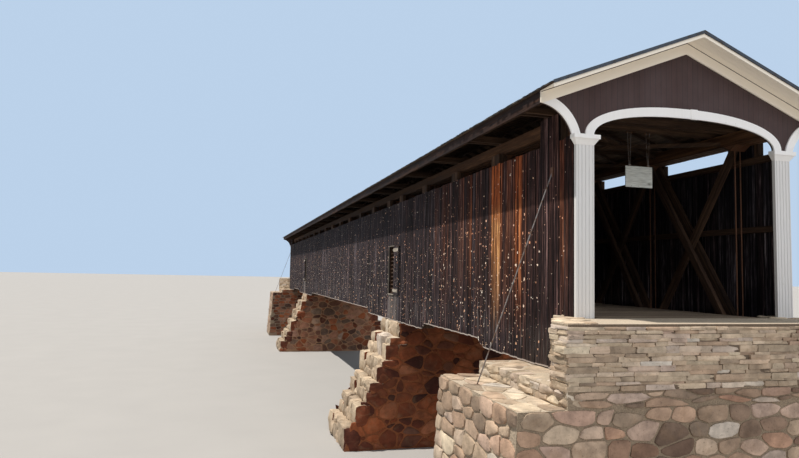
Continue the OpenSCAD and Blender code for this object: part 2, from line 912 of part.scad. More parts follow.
near_abutment();
far_abutment();
near_wing_walls();
far_wing_walls();
near_pier();
far_pier();
bolsters();
left_lower_chord();
right_lower_chord();
left_upper_chord();
right_upper_chord();
left_braces();
right_braces();
truss_rods();
washer_plates();
angle_blocks();
floor_beams();
floor_joists();
deck();
left_girts();
right_girts();
left_slot_blocks();
right_slot_blocks();
left_siding();
right_siding();
left_louvres();
right_louvres();
shutters();
tie_beams();
lateral_braces();
left_rafters();
right_rafters();
ridge_board();
eave_plates();
eave_fascias();
left_roof();
right_roof();
ridge_cap();
near_facade();
far_facade();
pillars();
capitals();
arch_trims();
near_frieze();
far_frieze();
stays();
board_hooks();
board_hangers();
hanging_board();
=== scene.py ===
"""Looks of the covered bridge: boards, stones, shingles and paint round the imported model, in metres at 1:2.

X runs across the bridge, Y along it with the near portal at -Y, and Z up from the lowest ground.
"""

import math
import random
from itertools import product

import bpy
from mathutils import Matrix, Vector, noise


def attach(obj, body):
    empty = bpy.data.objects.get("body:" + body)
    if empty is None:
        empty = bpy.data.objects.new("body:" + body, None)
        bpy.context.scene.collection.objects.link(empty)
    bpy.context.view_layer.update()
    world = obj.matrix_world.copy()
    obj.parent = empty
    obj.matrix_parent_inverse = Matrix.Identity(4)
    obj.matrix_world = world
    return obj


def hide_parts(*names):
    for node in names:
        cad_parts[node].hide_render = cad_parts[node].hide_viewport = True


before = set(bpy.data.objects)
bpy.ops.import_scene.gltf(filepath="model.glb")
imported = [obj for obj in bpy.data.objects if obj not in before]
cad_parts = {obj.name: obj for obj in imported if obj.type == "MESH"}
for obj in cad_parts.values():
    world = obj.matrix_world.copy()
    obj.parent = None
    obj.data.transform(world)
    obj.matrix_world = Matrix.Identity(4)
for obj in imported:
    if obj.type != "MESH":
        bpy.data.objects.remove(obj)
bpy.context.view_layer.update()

# Along the bridge, from its middle
PORTAL_Y = 17.385
INNER_Y = 17.335
RAKE_Y = 17.685
PIER_Y = 8.845
PIER_HALF = 0.875
RIVER_Y = PORTAL_Y - 1.5  # the abutment's river side, at its top
BACK_Y = PORTAL_Y + 0.8
FLARE_Y, TIP_Y = PORTAL_Y + 0.48, PORTAL_Y - 0.375  # where the wing walls turn in, and where they end
TABS = (16.485, 17.01)  # full-height boards
STUDS = (16.5, 16.97)

# Each span's start and its number of panels, each panel's start and the way that its main braces lean, and the
# panel points
PANEL, END_PANEL = 1.83, 0.61
SPANS = [(-PORTAL_Y, 4), (-PIER_Y, 9), (PIER_Y, 4)]
PANELS = [(y0 + END_PANEL + i * PANEL, 1 if i <= (n - 1) / 2 else -1) for y0, n in SPANS for i in range(n)]
POINTS = [y0 + END_PANEL + i * PANEL for y0, n in SPANS for i in range(n + 1)]

# Across the bridge, from its middle
WALL_X = 1.575
SIDING_X = 1.55
TRUSS_OUT, TRUSS_IN = 1.45, 1.205
LEAF_W, LEAF_GAP = 0.065, 0.025
ROOF_HALF = 2.038
TRIM_HALF = 2.018
SEAT_HALF, SHOULDER_HALF, FOOT_HALF = 2.15, 2.7, 2.85

# Heights
SHOULDER_Z = 2.64
SEAT_Z = 2.82
SIDING_LOW = 2.84
CHORD_BOTTOM = 2.97
DECK_Z = 3.5
SIDING_TOP = 5.675
UPPER_Z = 5.85
UPPER_TOP = 6.025

# Sizes of timbers and trim
DECK_T, JOIST_H, BEAM_H = 0.05, 0.1, 0.18
BRACE_D, BRACE_BEARING = 0.11, 0.125
TRIM_T = 0.02
BOARD_EDGE = 0.003
FASCIA_H = 0.152
WINDOW_W, SILL_Z, HEAD_Z = 0.48, 3.475, 4.635
SHUTTER_W = 0.49

# The roof's slope, and the eave plate that its rafters lie on
PITCH = math.radians(21.9)
SLOPE, COS, SIN = math.tan(PITCH), math.cos(PITCH), math.sin(PITCH)
SLOPE_LENGTH = ROOF_HALF / COS
PLATE_X, PLATE_Z, RAFTER_D = 1.88, 6.158, 0.055
BOARD_T = 0.018

# Masonry
BATTER = 0.15
PIER_CHEEK, PIER_SPREAD, PIER_STEPS = 0.34, 1.275, 5
LOWEST = 0.002  # no stone reaches lower

# What is left open between boards, and the factor that gives each side of a timber its own part of the grain
GAP = 0.003
SIDE_STEP = 1.37

ACROSS, ALONG, UP = (1, 0, 0), (0, 1, 0), (0, 0, 1)
SIDES = ((-1, "left"), (1, "right"))
ENDS = ((-1, "near"), (1, "far"))
CORNERS = ((-1, -1), (-1, 1), (1, -1), (1, 1))
SQUARE = ((-1, -1), (1, -1), (1, 1), (-1, 1))  # the same four, going round anticlockwise


def roof_under(x):
    """Height of the rafters' top, where the roof boards lie, at x from the middle."""
    return PLATE_Z + (PLATE_X - x) * SLOPE + RAFTER_D / COS


def held(value):
    """The value, kept from 0 to 1."""
    return min(1.0, max(0.0, value))


def lengths(start, stop, draw, least=0.0, slack=1e-9):
    """Places and lengths of pieces in a row.

    The last piece also takes a rest shorter than least, and a rest up to slack stays open.
    """
    at = start
    while at < stop - slack:
        length = min(draw(), stop - at)
        if stop - (at + length) < least:
            length = stop - at
        yield at, length
        at += length


# Meshes

class Mesh:
    """Gathers faces, with two vectors at each point: grain, a texture's own place, and look, its tone."""

    def __init__(self):
        self.points, self.faces, self.grain, self.look = [], [], [], []

    def add(self, points, faces, grain, look, flip=False):
        """look is one vector for all points or one for each, and flip turns the faces over."""
        first = len(self.points)
        self.points += [tuple(p) for p in points]
        self.faces += [tuple(first + i for i in (reversed(f) if flip else f)) for f in faces]
        self.grain += [tuple(g) for g in grain]
        self.look += list(look) if isinstance(look[0], tuple) else [look] * len(points)

    def piece(self, name, material, slot, stands_for=(), smooth=None):
        """Makes a piece of the faces. stands_for has the solids it replaces, and smooth its sharpest soft edge."""
        data = bpy.data.meshes.new(name)
        data.from_pydata(self.points, [], self.faces)
        for label, values in (("grain", self.grain), ("look", self.look)):
            layer = data.attributes.new(label, "FLOAT_VECTOR", "POINT")
            layer.data.foreach_set("vector", [c for v in values for c in v])
        data.materials.append(material)
        if smooth is not None:
            data.polygons.foreach_set("use_smooth", [True] * len(data.polygons))
            data.set_sharp_from_angle(angle=math.radians(smooth))
        data.validate()
        piece = bpy.data.objects.new(name, data)
        bpy.context.scene.collection.objects.link(piece)
        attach(piece, "root")
        if stands_for:
            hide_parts(*stands_for)


BOX_FACES = [(0, 3, 2, 1), (4, 5, 6, 7), (0, 1, 5, 4), (1, 2, 6, 5), (2, 3, 7, 6), (3, 0, 4, 7)]


def chamfered(points, amount):
    """A box's eight corners cut back along its edges: 24 points and 26 faces."""
    out, place = [], {}
    centre = sum(points, Vector()) / 8
    for f, face in enumerate(BOX_FACES):
        for k, i in enumerate(face):
            p = points[i]
            before, after = points[face[k - 1]], points[face[(k + 1) % 4]]
            place[f, i] = len(out)
            out.append(p + ((before - p).normalized() * amount + (after - p).normalized() * amount))
    faces = [tuple(place[f, i] for i in face) for f, face in enumerate(BOX_FACES)]
    for f, face in enumerate(BOX_FACES):
        for k, i in enumerate(face):
            j = face[(k + 1) % 4]
            for g in range(f + 1, 6):
                if i in BOX_FACES[g] and j in BOX_FACES[g]:
                    faces.append((place[f, j], place[f, i], place[g, i], place[g, j]))
    for i in range(8):
        corner = [place[f, i] for f, face in enumerate(BOX_FACES) if i in face]
        a, b, c = (out[t] for t in corner)
        if (b - a).cross(c - a).dot((a + b + c) / 3 - centre) < 0:
            corner.reverse()
        faces.append(tuple(corner))
    return out, faces


def timber(mesh, start, end, width, depth, tone, rng, wide=ACROSS, chamfer=0.004, rough=0.0):
    """A straight timber from start to end. wide is the direction that its width is measured along."""
    start, end = Vector(start), Vector(end)
    along = (end - start).normalized()
    across = (Vector(wide) - along * Vector(wide).dot(along)).normalized()
    up = along.cross(across)
    length, mark = (end - start).length, rng.uniform(0, 60)
    corners = []
    for t in (0, 1):
        for a, b in SQUARE:
            wander = Vector([rng.uniform(-rough, rough) for _ in range(3)])
            section = across * (a * width / 2) + up * (b * depth / 2)
            corners.append(start + along * (length * t) + section + wander)
    points, faces = chamfered(corners, chamfer)
    places = [p - start for p in points]
    grain = [(d.dot(along), d.dot(across) + SIDE_STEP * d.dot(up), mark) for d in places]
    mesh.add(points, faces, grain, (tone, 0, 0))


def sleeve(n, rings):
    """The faces round a stack of rings that have n points each."""
    return [(r + i, r + (i + 1) % n, r + n + (i + 1) % n, r + n + i)
            for r in range(0, n * (rings - 1), n) for i in range(n)]


def caps(n, rings):
    """The faces that close such a stack."""
    return [tuple(reversed(range(n))), tuple(range(n * (rings - 1), n * rings))]


def board(mesh, outline, x0, x1, tone, warm, mark, foot):
    """An upright board as a prism from x0, its back, to x1, its face, whose long edges are cut back.

    outline has (y, z) from the lower left, anticlockwise, and the grain starts at the height foot.
    """
    sign = 1 if x1 > x0 else -1
    n = len(outline)
    middle = sum(y for y, _ in outline) / n
    half = max(abs(y - middle) for y, _ in outline)
    inner = [(y - math.copysign(BOARD_EDGE, y - middle), z) for y, z in outline]
    rings = (x0, outline), (x1 - sign * BOARD_EDGE, outline), (x1, inner)
    points = [(x, y, z) for x, ring in rings for y, z in ring]
    grain = [(z - foot, y - middle + SIDE_STEP * (x - x0), mark) for x, y, z in points]
    look = [(tone, warm, (y - middle) / half) for _, y, _ in points]
    mesh.add(points, caps(n, 3) + sleeve(n, 3), grain, look, flip=sign < 0)


# Stones

def clipped(shape, nx, ny, c):
    """What is left of a convex outline where nx * x + ny * y stays under c."""
    out = []
    for i, (x0, y0) in enumerate(shape):
        x1, y1 = shape[(i + 1) % len(shape)]
        d0, d1 = nx * x0 + ny * y0 - c, nx * x1 + ny * y1 - c
        if d0 <= 0:
            out.append((x0, y0))
        if d0 * d1 < 0:
            t = d0 / (d0 - d1)
            out.append((x0 + t * (x1 - x0), y0 + t * (y1 - y0)))
    return out


def edges_of(outline):
    """The lines that bound a convex outline given anticlockwise, as (nx, ny, c)."""
    lines = []
    for i, (x0, y0) in enumerate(outline):
        x1, y1 = outline[(i + 1) % len(outline)]
        size = math.hypot(x1 - x0, y1 - y0)
        nx, ny = (y1 - y0) / size, (x0 - x1) / size
        lines.append((nx, ny, nx * x0 + ny * y0))
    return lines


def stone_shapes(box, limits, w, h, joint, rng, wander, mixed):
    """Splits a wall face into stones: each is the part of the face nearest to its own middle, less the joint.

    limits gives the lines that bound a stone whose middle is there, or None outside the wall, and mixed sets
    how much larger some stones grow than others.
    """
    u0, v0, u1, v1 = box
    cols, rows = max(1, round((u1 - u0) / w)), max(1, round((v1 - v0) / h))
    w, h = (u1 - u0) / cols, (v1 - v0) / rows
    seeds = {}
    for r in range(-1, rows + 1):
        shift = rng.uniform(0, 1)
        for c in range(-1, cols + 2):
            seeds[c, r] = (u0 + (c + shift + rng.uniform(-wander, wander) - 0.5) * w,
                           v0 + (r + 0.5 + rng.uniform(-wander, wander)) * h, rng.uniform(0, mixed))
    shapes = []
    for (c, r), (su, sv, weight) in seeds.items():
        lines = limits(su, sv)
        if lines is None:
            continue
        shape = [(su + 2 * a * w, sv + 2 * b * h) for a, b in SQUARE]
        for dr in (-1, 0, 1, 2, -2):
            for dc in (-2, -1, 0, 1, 2):
                other = seeds.get((c + dc, r + dr))
                if other is None or (dc == 0 and dr == 0) or not shape:
                    continue
                a, b = (other[0] - su) / w ** 2, (other[1] - sv) / h ** 2
                size = math.hypot(a, b)
                reach = (a * (other[0] + su) + b * (other[1] + sv) + weight - other[2]) / 2
                shape = clipped(shape, a / size, b / size, reach / size - joint / 2)
        for nx, ny, c0 in lines:
            shape = clipped(shape, nx, ny, c0 - joint / 4)
        area = sum(shape[i - 1][0] * y - x * shape[i - 1][1] for i, (x, y) in enumerate(shape)) / 2
        if len(shape) > 2 and area > 0.1 * w * h:
            shapes.append(shape)
    return shapes


def softened(shape, rng, most):
    """An outline with each corner cut back by a part of its sides."""
    out = []
    for i, (x0, y0) in enumerate(shape):
        x1, y1 = shape[(i + 1) % len(shape)]
        for (xa, ya), (xb, yb) in (((x0, y0), (x1, y1)), ((x1, y1), (x0, y0))):
            cut = rng.uniform(most / 3, most)
            out.append((xa + (xb - xa) * cut, ya + (yb - ya) * cut))
    return out


def stone(mesh, shape, place, height, look, rng, most):
    """One stone's face, standing out from the wall: place(u, v, w) gives a point w in front of the wall."""
    shape = softened(shape, rng, most)
    n = len(shape)
    cu, cv = sum(u for u, _ in shape) / n, sum(v for _, v in shape) / n
    tilt = rng.uniform(-0.25, 0.25), rng.uniform(-0.25, 0.25)
    size = max(math.dist(p, (cu, cv)) for p in shape)
    mark = [rng.uniform(0, 40) for _ in range(3)]
    points, grain = [], []
    for scale, lift, loose in ((1.0, -0.35, 0.0), (0.98, 0.7, 0.08), (0.84, 1.0, 0.2)):
        for u, v in shape:
            f = scale * (1 + rng.uniform(-loose, loose) * 0.5)
            pu, pv = cu + (u - cu) * f, cv + (v - cv) * f
            slant = (tilt[0] * (u - cu) + tilt[1] * (v - cv)) / size
            w = height * (lift + slant + rng.uniform(-loose, loose))
            points.append(place(pu, pv, w))
            grain.append((pu + mark[0], pv + mark[1], w + mark[2]))
    points.append(place(cu, cv, height * (1.0 + rng.uniform(-0.25, 0.2))))
    grain.append((cu + mark[0], cv + mark[1], height + mark[2]))
    top = [(2 * n + i, 2 * n + (i + 1) % n, 3 * n) for i in range(n)]
    mesh.add(points, sleeve(n, 3) + top, grain, look)


def rubble(mesh, origin, u_axis, v_axis, outline, rng, size, joint, height, warm, limits=None, wander=0.4,
           mixed=0.55, most=0.24):
    """Covers a flat face with stones. outline is in u and v, convex, and anticlockwise from outside."""
    origin, u_axis, v_axis = Vector(origin), Vector(u_axis), Vector(v_axis)
    normal = u_axis.cross(v_axis).normalized()
    lines = edges_of(outline)

    def inside(u, v):
        return lines if all(nx * u + ny * v < c + 0.1 * size[1] for nx, ny, c in lines) else None

    def place(u, v, w):
        point = origin + u_axis * u + v_axis * v + normal * w
        point.z = max(point.z, LOWEST)
        return point

    us, vs = zip(*outline)
    box = min(us), min(vs), max(us), max(vs)
    for shape in stone_shapes(box, limits or inside, *size, joint, rng, wander, mixed):
        look = (rng.random(), held(rng.gauss(warm, 0.12)), 0)
        stone(mesh, shape, place, height * rng.uniform(0.6, 1.35), look, rng, most)


def cube_skin(n):
    """Points and faces of a cube from -1 to 1 whose sides are cut into n by n."""
    index, faces = {}, []
    for axis, sign, i, j in product(range(3), (-1, 1), range(n), range(n)):
        face = []
        for a, b in ((0, 0), (1, 0), (1, 1), (0, 1)):
            p = [0, 0, 0]
            p[axis], p[axis - 2], p[axis - 1] = sign, -1 + 2 * (i + a) / n, -1 + 2 * (j + b) / n
            face.append(index.setdefault(tuple(p), len(index)))
        faces.append(face[::sign])
    return [Vector(p) for p in index], faces


SKINS = {n: cube_skin(n) for n in (3, 5)}


def boulder(mesh, centre, half, look, rng, turn=0.0, rounding=0.34, bumps=0.12, cuts=3):
    """A rough block: a cube's skin, rounded off and pushed about."""
    points, faces = SKINS[cuts]
    mark = Vector([rng.uniform(-50, 50) for _ in range(3)])
    spin = Matrix.Rotation(turn, 3, "Z") @ Matrix.Rotation(rng.uniform(-0.06, 0.06), 3, "X")
    centre, half = Vector(centre), Vector(half)
    out, grain = [], []
    for p in points:
        q = p * (1 - rounding) + p.normalized() * (rounding * 1.2)
        push = noise.noise(p * 0.9 + mark) + 0.6 * noise.noise(p * 2.3 + mark)
        q += p.normalized() * (push * bumps * 2)
        q = q * half
        place = centre + spin @ q
        place.z = max(place.z, LOWEST)
        out.append(place)
        grain.append(q + mark)
    mesh.add(out, faces, grain, look)


# Materials

class Value:
    """A node's output, for plain sums."""

    def __init__(self, shader, socket):
        self.shader, self.socket = shader, socket

    def __add__(self, other):
        return self.shader.math("ADD", self, other)

    def __sub__(self, other):
        return self.shader.math("SUBTRACT", self, other)

    def __rsub__(self, other):
        return self.shader.math("SUBTRACT", other, self)

    def __mul__(self, other):
        return self.shader.math("MULTIPLY", self, other)

    def __truediv__(self, other):
        return self.shader.math("DIVIDE", self, other)

    def __abs__(self):
        return self.shader.math("ABSOLUTE", self)

    def span(self, low, high, to_low=0.0, to_high=1.0):
        """The value held between low and high, and brought to run from to_low to to_high."""
        return self.shader.node("MapRange", 0, {"clamp": True}, Value=self, From_Min=low, From_Max=high,
                                To_Min=to_low, To_Max=to_high)


class Shader:
    """A node material built with short calls."""

    def __init__(self, name, roughness, specular=None):
        self.material = bpy.data.materials.new(name)
        self.material.use_nodes = True
        self.tree = self.material.node_tree
        self.surface = self.tree.nodes["Principled BSDF"]
        self.surface.inputs["Roughness"].default_value = roughness
        if specular is not None:
            self.surface.inputs["Specular IOR Level"].default_value = specular

    def node(self, kind, out=0, props=None, **inputs):
        """A new node's output. Inputs go by name, or by number as i0, i1 and so on."""
        node = self.tree.nodes.new("ShaderNode" + kind)
        for key, value in (props or {}).items():
            setattr(node, key, value)
        for key, value in inputs.items():
            key = int(key[1:]) if key[0] == "i" and key[1:].isdigit() else key.replace("_", " ")
            self.put(node.inputs[key], value)
        return Value(self, node.outputs[out])

    def put(self, socket, value):
        if isinstance(value, Value):
            self.tree.links.new(value.socket, socket)
        else:
            socket.default_value = value

    def attribute(self, name):
        return self.node("Attribute", 1, {"attribute_name": name})

    def place(self):
        """The place on the bridge at rest."""
        return self.node("TexCoord", 3)

    def normal(self):
        return self.parts(self.node("NewGeometry", 1))

    def parts(self, vector):
        node = self.tree.nodes.new("ShaderNodeSeparateXYZ")
        self.put(node.inputs[0], vector)
        return [Value(self, socket) for socket in node.outputs]

    def joined(self, x, y, z):
        return self.node("CombineXYZ", X=x, Y=y, Z=z)

    def scaled(self, vector, scale, move=(0, 0, 0)):
        return self.node("Mapping", Vector=vector, Scale=scale, Location=move)

    def noise(self, vector, scale, detail=3.0, rough=0.55, warp=0.0, move=(0, 0, 0)):
        """Noise whose scale is one number, or three that stretch it."""
        if isinstance(scale, tuple):
            vector, scale = self.scaled(vector, scale, move), 1.0
        return self.node("TexNoise", Vector=vector, Scale=scale, Detail=detail, Roughness=rough,
                         Distortion=warp)

    def cells(self, vector, scale=1.0, out=0):
        return self.node("TexVoronoi", out, Vector=vector, Scale=scale)

    def chance(self, value):
        return self.node("TexWhiteNoise", 0, {"noise_dimensions": "1D"}, W=value)

    def math(self, operation, a, b=0.0, clamp=False):
        return self.node("Math", 0, {"operation": operation, "use_clamp": clamp}, i0=a, i1=b)

    def larger(self, a, b):
        return self.math("MAXIMUM", a, b)

    def ramp(self, value, *stops):
        """Colours along a value. Each stop has its place, red, green and blue."""
        node = self.tree.nodes.new("ShaderNodeValToRGB")
        ramp = node.color_ramp
        while len(ramp.elements) < len(stops):
            ramp.elements.new(0.5)
        for element, (place, *color) in zip(ramp.elements, stops):
            element.position = place
            element.color = (*color, 1)
        self.put(node.inputs[0], value)
        return Value(self, node.outputs[0])

    def mix(self, share, a, b, blend="MIX"):
        node = self.tree.nodes.new("ShaderNodeMix")
        node.data_type = "RGBA"
        node.blend_type = blend
        for i, value in ((0, share), (6, a), (7, b)):
            self.put(node.inputs[i], (*value, 1) if isinstance(value, tuple) else value)
        return Value(self, node.outputs[2])

    def shaded(self, color, shade):
        return self.mix(1.0, color, self.joined(shade, shade, shade), "MULTIPLY")

    def cracks(self, grain, scale, width):
        """Drying cracks: 0 in a crack and 1 beside it."""
        return abs(self.noise(grain, scale, 2, 0.4, move=(3, 5, 7)) - 0.5).span(0.0, width)

    def finish(self, color, height, strength, distance, roughness=None):
        self.put(self.surface.inputs["Base Color"], color)
        if roughness is not None:
            self.put(self.surface.inputs["Roughness"], roughness)
        bump = self.node("Bump", Height=height, Strength=strength, Distance=distance)
        self.put(self.surface.inputs["Normal"], bump)
        return self.material


def grain_of(shader, axis):
    """The place in the wood, along the grain, across it and from timber to timber."""
    if axis is None:
        return shader.attribute("grain")
    x, y, z = shader.parts(shader.place())
    along, first, second = (x, y, z) if axis == "x" else (y, x, z)
    return shader.joined(along, first + second * SIDE_STEP, first * 0.3)


def wood(name, dark, middle, light, axis=None, cracks=0.5, inner=None):
    """Bare old wood: long fibres, streaks and drying cracks. inner is painted shade: the tone far from both
    portals, darker towards the middle of the bridge.
    """
    s = Shader(name, 0.85, 0.2)
    grain = grain_of(s, axis)
    fibre = s.noise(grain, (3.2, 75, 9), 4, 0.62)
    streak = s.noise(grain, (0.8, 16, 5))
    both = (fibre * 0.5 + streak * 0.5).span(0.34, 0.66)
    color = s.ramp(both, (0.0, *dark), (0.5, *middle), (1.0, *light))
    if axis is None:
        tone, _, _ = s.parts(s.attribute("look"))
        color = s.shaded(color, tone.span(0, 1, 0.62, 1.3))
    # Painted shade: darker towards the middle of the bridge, away from both portals
    if inner is not None:
        _, y, _ = s.parts(s.place())
        color = s.shaded(color, abs(y).span(10.0, 16.5, inner, 1.0))
    line = s.cracks(grain, (1.4, 42, 3), 0.022)
    color = s.mix((1.0 - line) * cracks, color, tuple(c * 0.25 for c in dark))
    return s.finish(color, fibre * 0.5 + line * 0.5, 0.5, 0.006, streak.span(0.3, 0.7, 0.77, 0.95))


def siding_wood():
    """The walls' dark boards: black-brown, with bare red ones that fade to tan in the sun, and pale flecks.

    look has a board's tone, its bareness, and the way across it from -1 to 1.
    """
    s = Shader("siding_wood", 0.9, 0.12)
    grain = s.attribute("grain")
    along, _, mark = s.parts(grain)
    tone, warm, edge = s.parts(s.attribute("look"))
    x, y, _ = s.parts(s.place())
    outward = (s.normal()[0] * x).span(0.2, 0.6)
    fibre = s.noise(grain, (3.0, 95, 11), 4, 0.66)
    streak = s.noise(grain, (0.5, 21, 7))
    both = (fibre * 0.5 + streak * 0.5).span(0.39, 0.62)
    sunned = along + streak * 0.5

    # Stained boards, gray with age and bleached under the windows; the grayer boards get painted shade, bluish
    # black, high under the eaves
    brown = s.ramp(both, (0.0, 0.003, 0.0018, 0.0022), (0.4, 0.014, 0.0072, 0.0073),
                   (0.75, 0.052, 0.026, 0.024), (1.0, 0.17, 0.095, 0.083))
    gray = s.ramp(both, (0.0, 0.003, 0.0029, 0.0038), (0.42, 0.02, 0.0175, 0.0215),
                  (0.75, 0.077, 0.07, 0.083), (1.0, 0.31, 0.285, 0.32))
    color = s.mix(tone.span(0.0, 1.0, 0.0, 0.85), brown, gray)
    color = s.mix(tone.span(1.0, 1.5, 0.0, 0.9), color, s.mix(both, (0.08, 0.07, 0.067), (0.4, 0.35, 0.33)))
    cloud = s.noise(grain, (0.3, 4.5, 31.7), 3, 0.7).span(0.3, 0.7, 0.5, 1.5)
    broad = s.noise(s.place(), (0.5, 1.7, 0.28), 4, 0.7).span(0.36, 0.64, 0.62, 1.42)
    color = s.shaded(color, cloud * broad)
    # Painted shade: near black and bluish high up on the grayer boards, in the eaves' shadow
    kept = sunned.span(2.1, 2.55, 0.0, 0.7) * tone.span(0.35, 0.8)
    color = s.mix(kept, color, (0.009, 0.009, 0.013))

    # Bare boards, red in the eaves' shadow and tan below it
    tan = s.ramp(both, (0.0, 0.03, 0.012, 0.006), (0.4, 0.2, 0.08, 0.033), (0.75, 0.66, 0.3, 0.11),
                 (1.0, 1.0, 0.6, 0.27))
    red = s.ramp(both, (0.0, 0.03, 0.007, 0.004), (0.4, 0.17, 0.042, 0.015), (0.75, 0.48, 0.12, 0.035),
                 (1.0, 0.75, 0.26, 0.09))
    ruddy = s.larger(sunned.span(2.15, 2.5), warm.span(0.93, 0.99, 0.75, 0.0))
    vein = s.noise(grain, (0.25, 12, 13), 2, move=(9, 2, 4)).span(0.36, 0.6, 0.2, 1.0)
    glow = s.math("MULTIPLY", warm, vein, clamp=True)
    glow = s.larger(glow, warm.span(0.7, 1.0) * fibre.span(0.3, 0.5, 0.55, 1.0))
    color = s.mix(glow * sunned.span(0.5, 1.75) * outward, color, s.mix(ruddy, tan, red))

    # Dust at the foot near the portal, worn edges low down, cracks, and dark seams between boards
    foot = y.span(-17.0, -15.6, 0.6, 0.0) * (along + streak * 0.8).span(0.4, 0.95, 1.0, 0.0)
    color = s.mix(foot * fibre.span(0.4, 0.62), color, (0.17, 0.14, 0.12))
    patch = s.noise(grain, (2.6, 34, 3), move=(1, 7, 2)).span(0.47, 0.56)
    low = along.span(0.4, 0.6, 1.0, 0.1) * abs(edge).span(0.45, 0.85) * along.span(0.05, 0.22) * patch
    color = s.mix(low * s.chance(mark).span(0.3, 1.0, 0.0, 0.8), color, (0.4, 0.365, 0.355))
    line = s.cracks(grain, (0.9, 40, 3), 0.02)
    color = s.mix((1.0 - line) * 0.7, color, (0.006, 0.004, 0.004))
    color = s.mix(abs(edge).span(0.78, 0.94, 0.0, 0.8), color, (0.004, 0.003, 0.003))

    # Pale flecks, redder just below the eaves' shadow, and fewer in that shadow as painted shade
    crowd = s.noise(grain, (0.9, 1.6, 7.7), 2).span(0.4, 0.6, 0.12, 0.21)
    # Fewer flecks high up, in the eaves' shadow: painted shade
    crowd = crowd * sunned.span(1.9, 2.4, 1.0, 0.55) * y.span(-16.4, -16.0, 0.5, 1.0)
    band = sunned.span(1.5, 2.0) * sunned.span(2.3, 2.6, 1.0, 0.0)
    for size, reach, share in ((10.0, 0.24, 1.0), (15.0, 0.3, 1.0), (27.0, 0.36, 0.7)):
        place = s.scaled(grain, (size, size * 0.95, 7.7))
        wobble = s.noise(grain, (size * 3.1, size * 5.3, 3), 1).span(0.3, 0.7, 0.7, 1.6)
        pick, hue, _ = s.parts(s.cells(place, out=1))
        few = pick - (1.0 - crowd)
        spot = few.span(0.0, 0.15, 0.12, reach) - s.cells(place) * wobble
        fleck = spot.span(0.0, 0.02) * few.span(0.0, 0.001, 0.0, share) * outward
        tint = s.ramp(hue, (0.0, 0.62, 0.25, 0.14), (0.35, 0.98, 0.62, 0.4), (1.0, 1.0, 0.93, 0.83))
        color = s.mix(fleck, color, s.mix(band * 0.6, tint, (0.9, 0.4, 0.24)))

    # Pale cut ends at the lower edge
    color = s.mix(along.span(0.008, 0.024, 1.0, 0.0) * 0.9, color, (0.62, 0.55, 0.5))
    return s.finish(color, fibre * 0.5 + line * 0.5, 0.7, 0.007, fibre.span(0.3, 0.7, 1.0, 0.8))


def paint(name, color, dirt, worn, chips, boards=None, roughness=0.6, stain=0.55, sloping=False):
    """Old paint on wood: faint dirt, runs and chips; with boards, upright joints at that spacing along X."""
    s = Shader(name, roughness)
    place = s.place()
    x, y, z = s.parts(place)
    if sloping:
        reach = abs(x)
        place = s.joined(reach * SIN + z * COS, y, reach * COS - z * SIN)
    cloud = s.noise(place, (1.6, 1.6, 1.1), 5, 0.6)
    runs = s.noise(place, (26, 26, 1.3), 3, 0.5)
    fine = s.noise(place, (150, 150, 6), 3, 0.6)
    tint = s.mix(cloud.span(0.4, 0.72) * runs.span(0.35, 0.7) * stain, color, dirt)
    tint = s.mix(fine.span(0.45, 0.75, 0.0, stain * 0.4), tint, dirt)
    height = fine * 0.35
    if boards:
        groove = 0.006 / boards
        run = (x + 40.0) / boards
        gap = (0.5 - abs(s.math("FRACT", run) - 0.5)).span(groove * 0.35, groove)
        tint = s.shaded(tint, s.chance(s.math("FLOOR", run)).span(0, 1, 0.94, 1.05))
        tint = s.mix(0.5 - gap * 0.5, tint, tuple(c * 0.4 for c in dirt))
        height = height + gap * 0.9
    gone = s.noise(place, (34, 34, 13), 4, 0.65).span(0.69, 0.71) * chips
    tint = s.mix(gone, tint, worn)
    return s.finish(tint, height - gone * 0.6, 0.35, 0.004,
                    cloud.span(0.3, 0.7, roughness - 0.12, roughness + 0.15))


def stone_surface(name):
    """Field stone, mottled, with dark pits.

    look has its tone, its redness, and how red its faces are that look along the bridge. Such faces lie in shade,
    and their red, dark colour is partly the stone's stain and partly painted shade.
    """
    s = Shader(name, 0.92, 0.25)
    grain = s.attribute("grain")
    tone, warm, ends = s.parts(s.attribute("look"))
    mottle = s.noise(grain, (5, 5, 5), 5, 0.62)
    speck = s.noise(grain, (46, 46, 46), 3, 0.6)
    vein = s.noise(grain, (3, 3, 16), 4, 0.6, 1.2)
    stain = s.noise(s.place(), 0.9, 4, 0.6)
    red = s.ramp(tone, (0.0, 0.05, 0.016, 0.012), (0.25, 0.115, 0.033, 0.019), (0.5, 0.23, 0.063, 0.026),
                 (0.85, 0.345, 0.1, 0.038), (1.0, 0.34, 0.13, 0.065))
    tan = s.ramp(tone, (0.0, 0.32, 0.255, 0.19), (0.35, 0.48, 0.39, 0.285), (0.7, 0.6, 0.51, 0.385),
                 (1.0, 0.54, 0.49, 0.43))
    # Faces that look along the bridge turn red and dark: partly stain, partly painted shade on the sides away from
    # the sun
    warm = s.larger(warm, ends * abs(s.normal()[1]).span(0.5, 0.75))
    color = s.shaded(s.mix(warm, tan, red), mottle.span(0.3, 0.7, 0.62, 1.35))
    color = s.mix(vein.span(0.52, 0.72, 0.0, 0.35), color, (0.3, 0.19, 0.11))
    color = s.mix(speck.span(0.6, 0.72, 0.0, 0.5), color, (0.05, 0.035, 0.028))
    color = s.mix(stain.span(0.5, 0.66, 0.0, 0.55) * warm, color, (0.05, 0.024, 0.018))
    return s.finish(color, mottle * 0.7 + speck * 0.3, 0.9, 0.02, speck.span(0.3, 0.7, 0.85, 1.0))


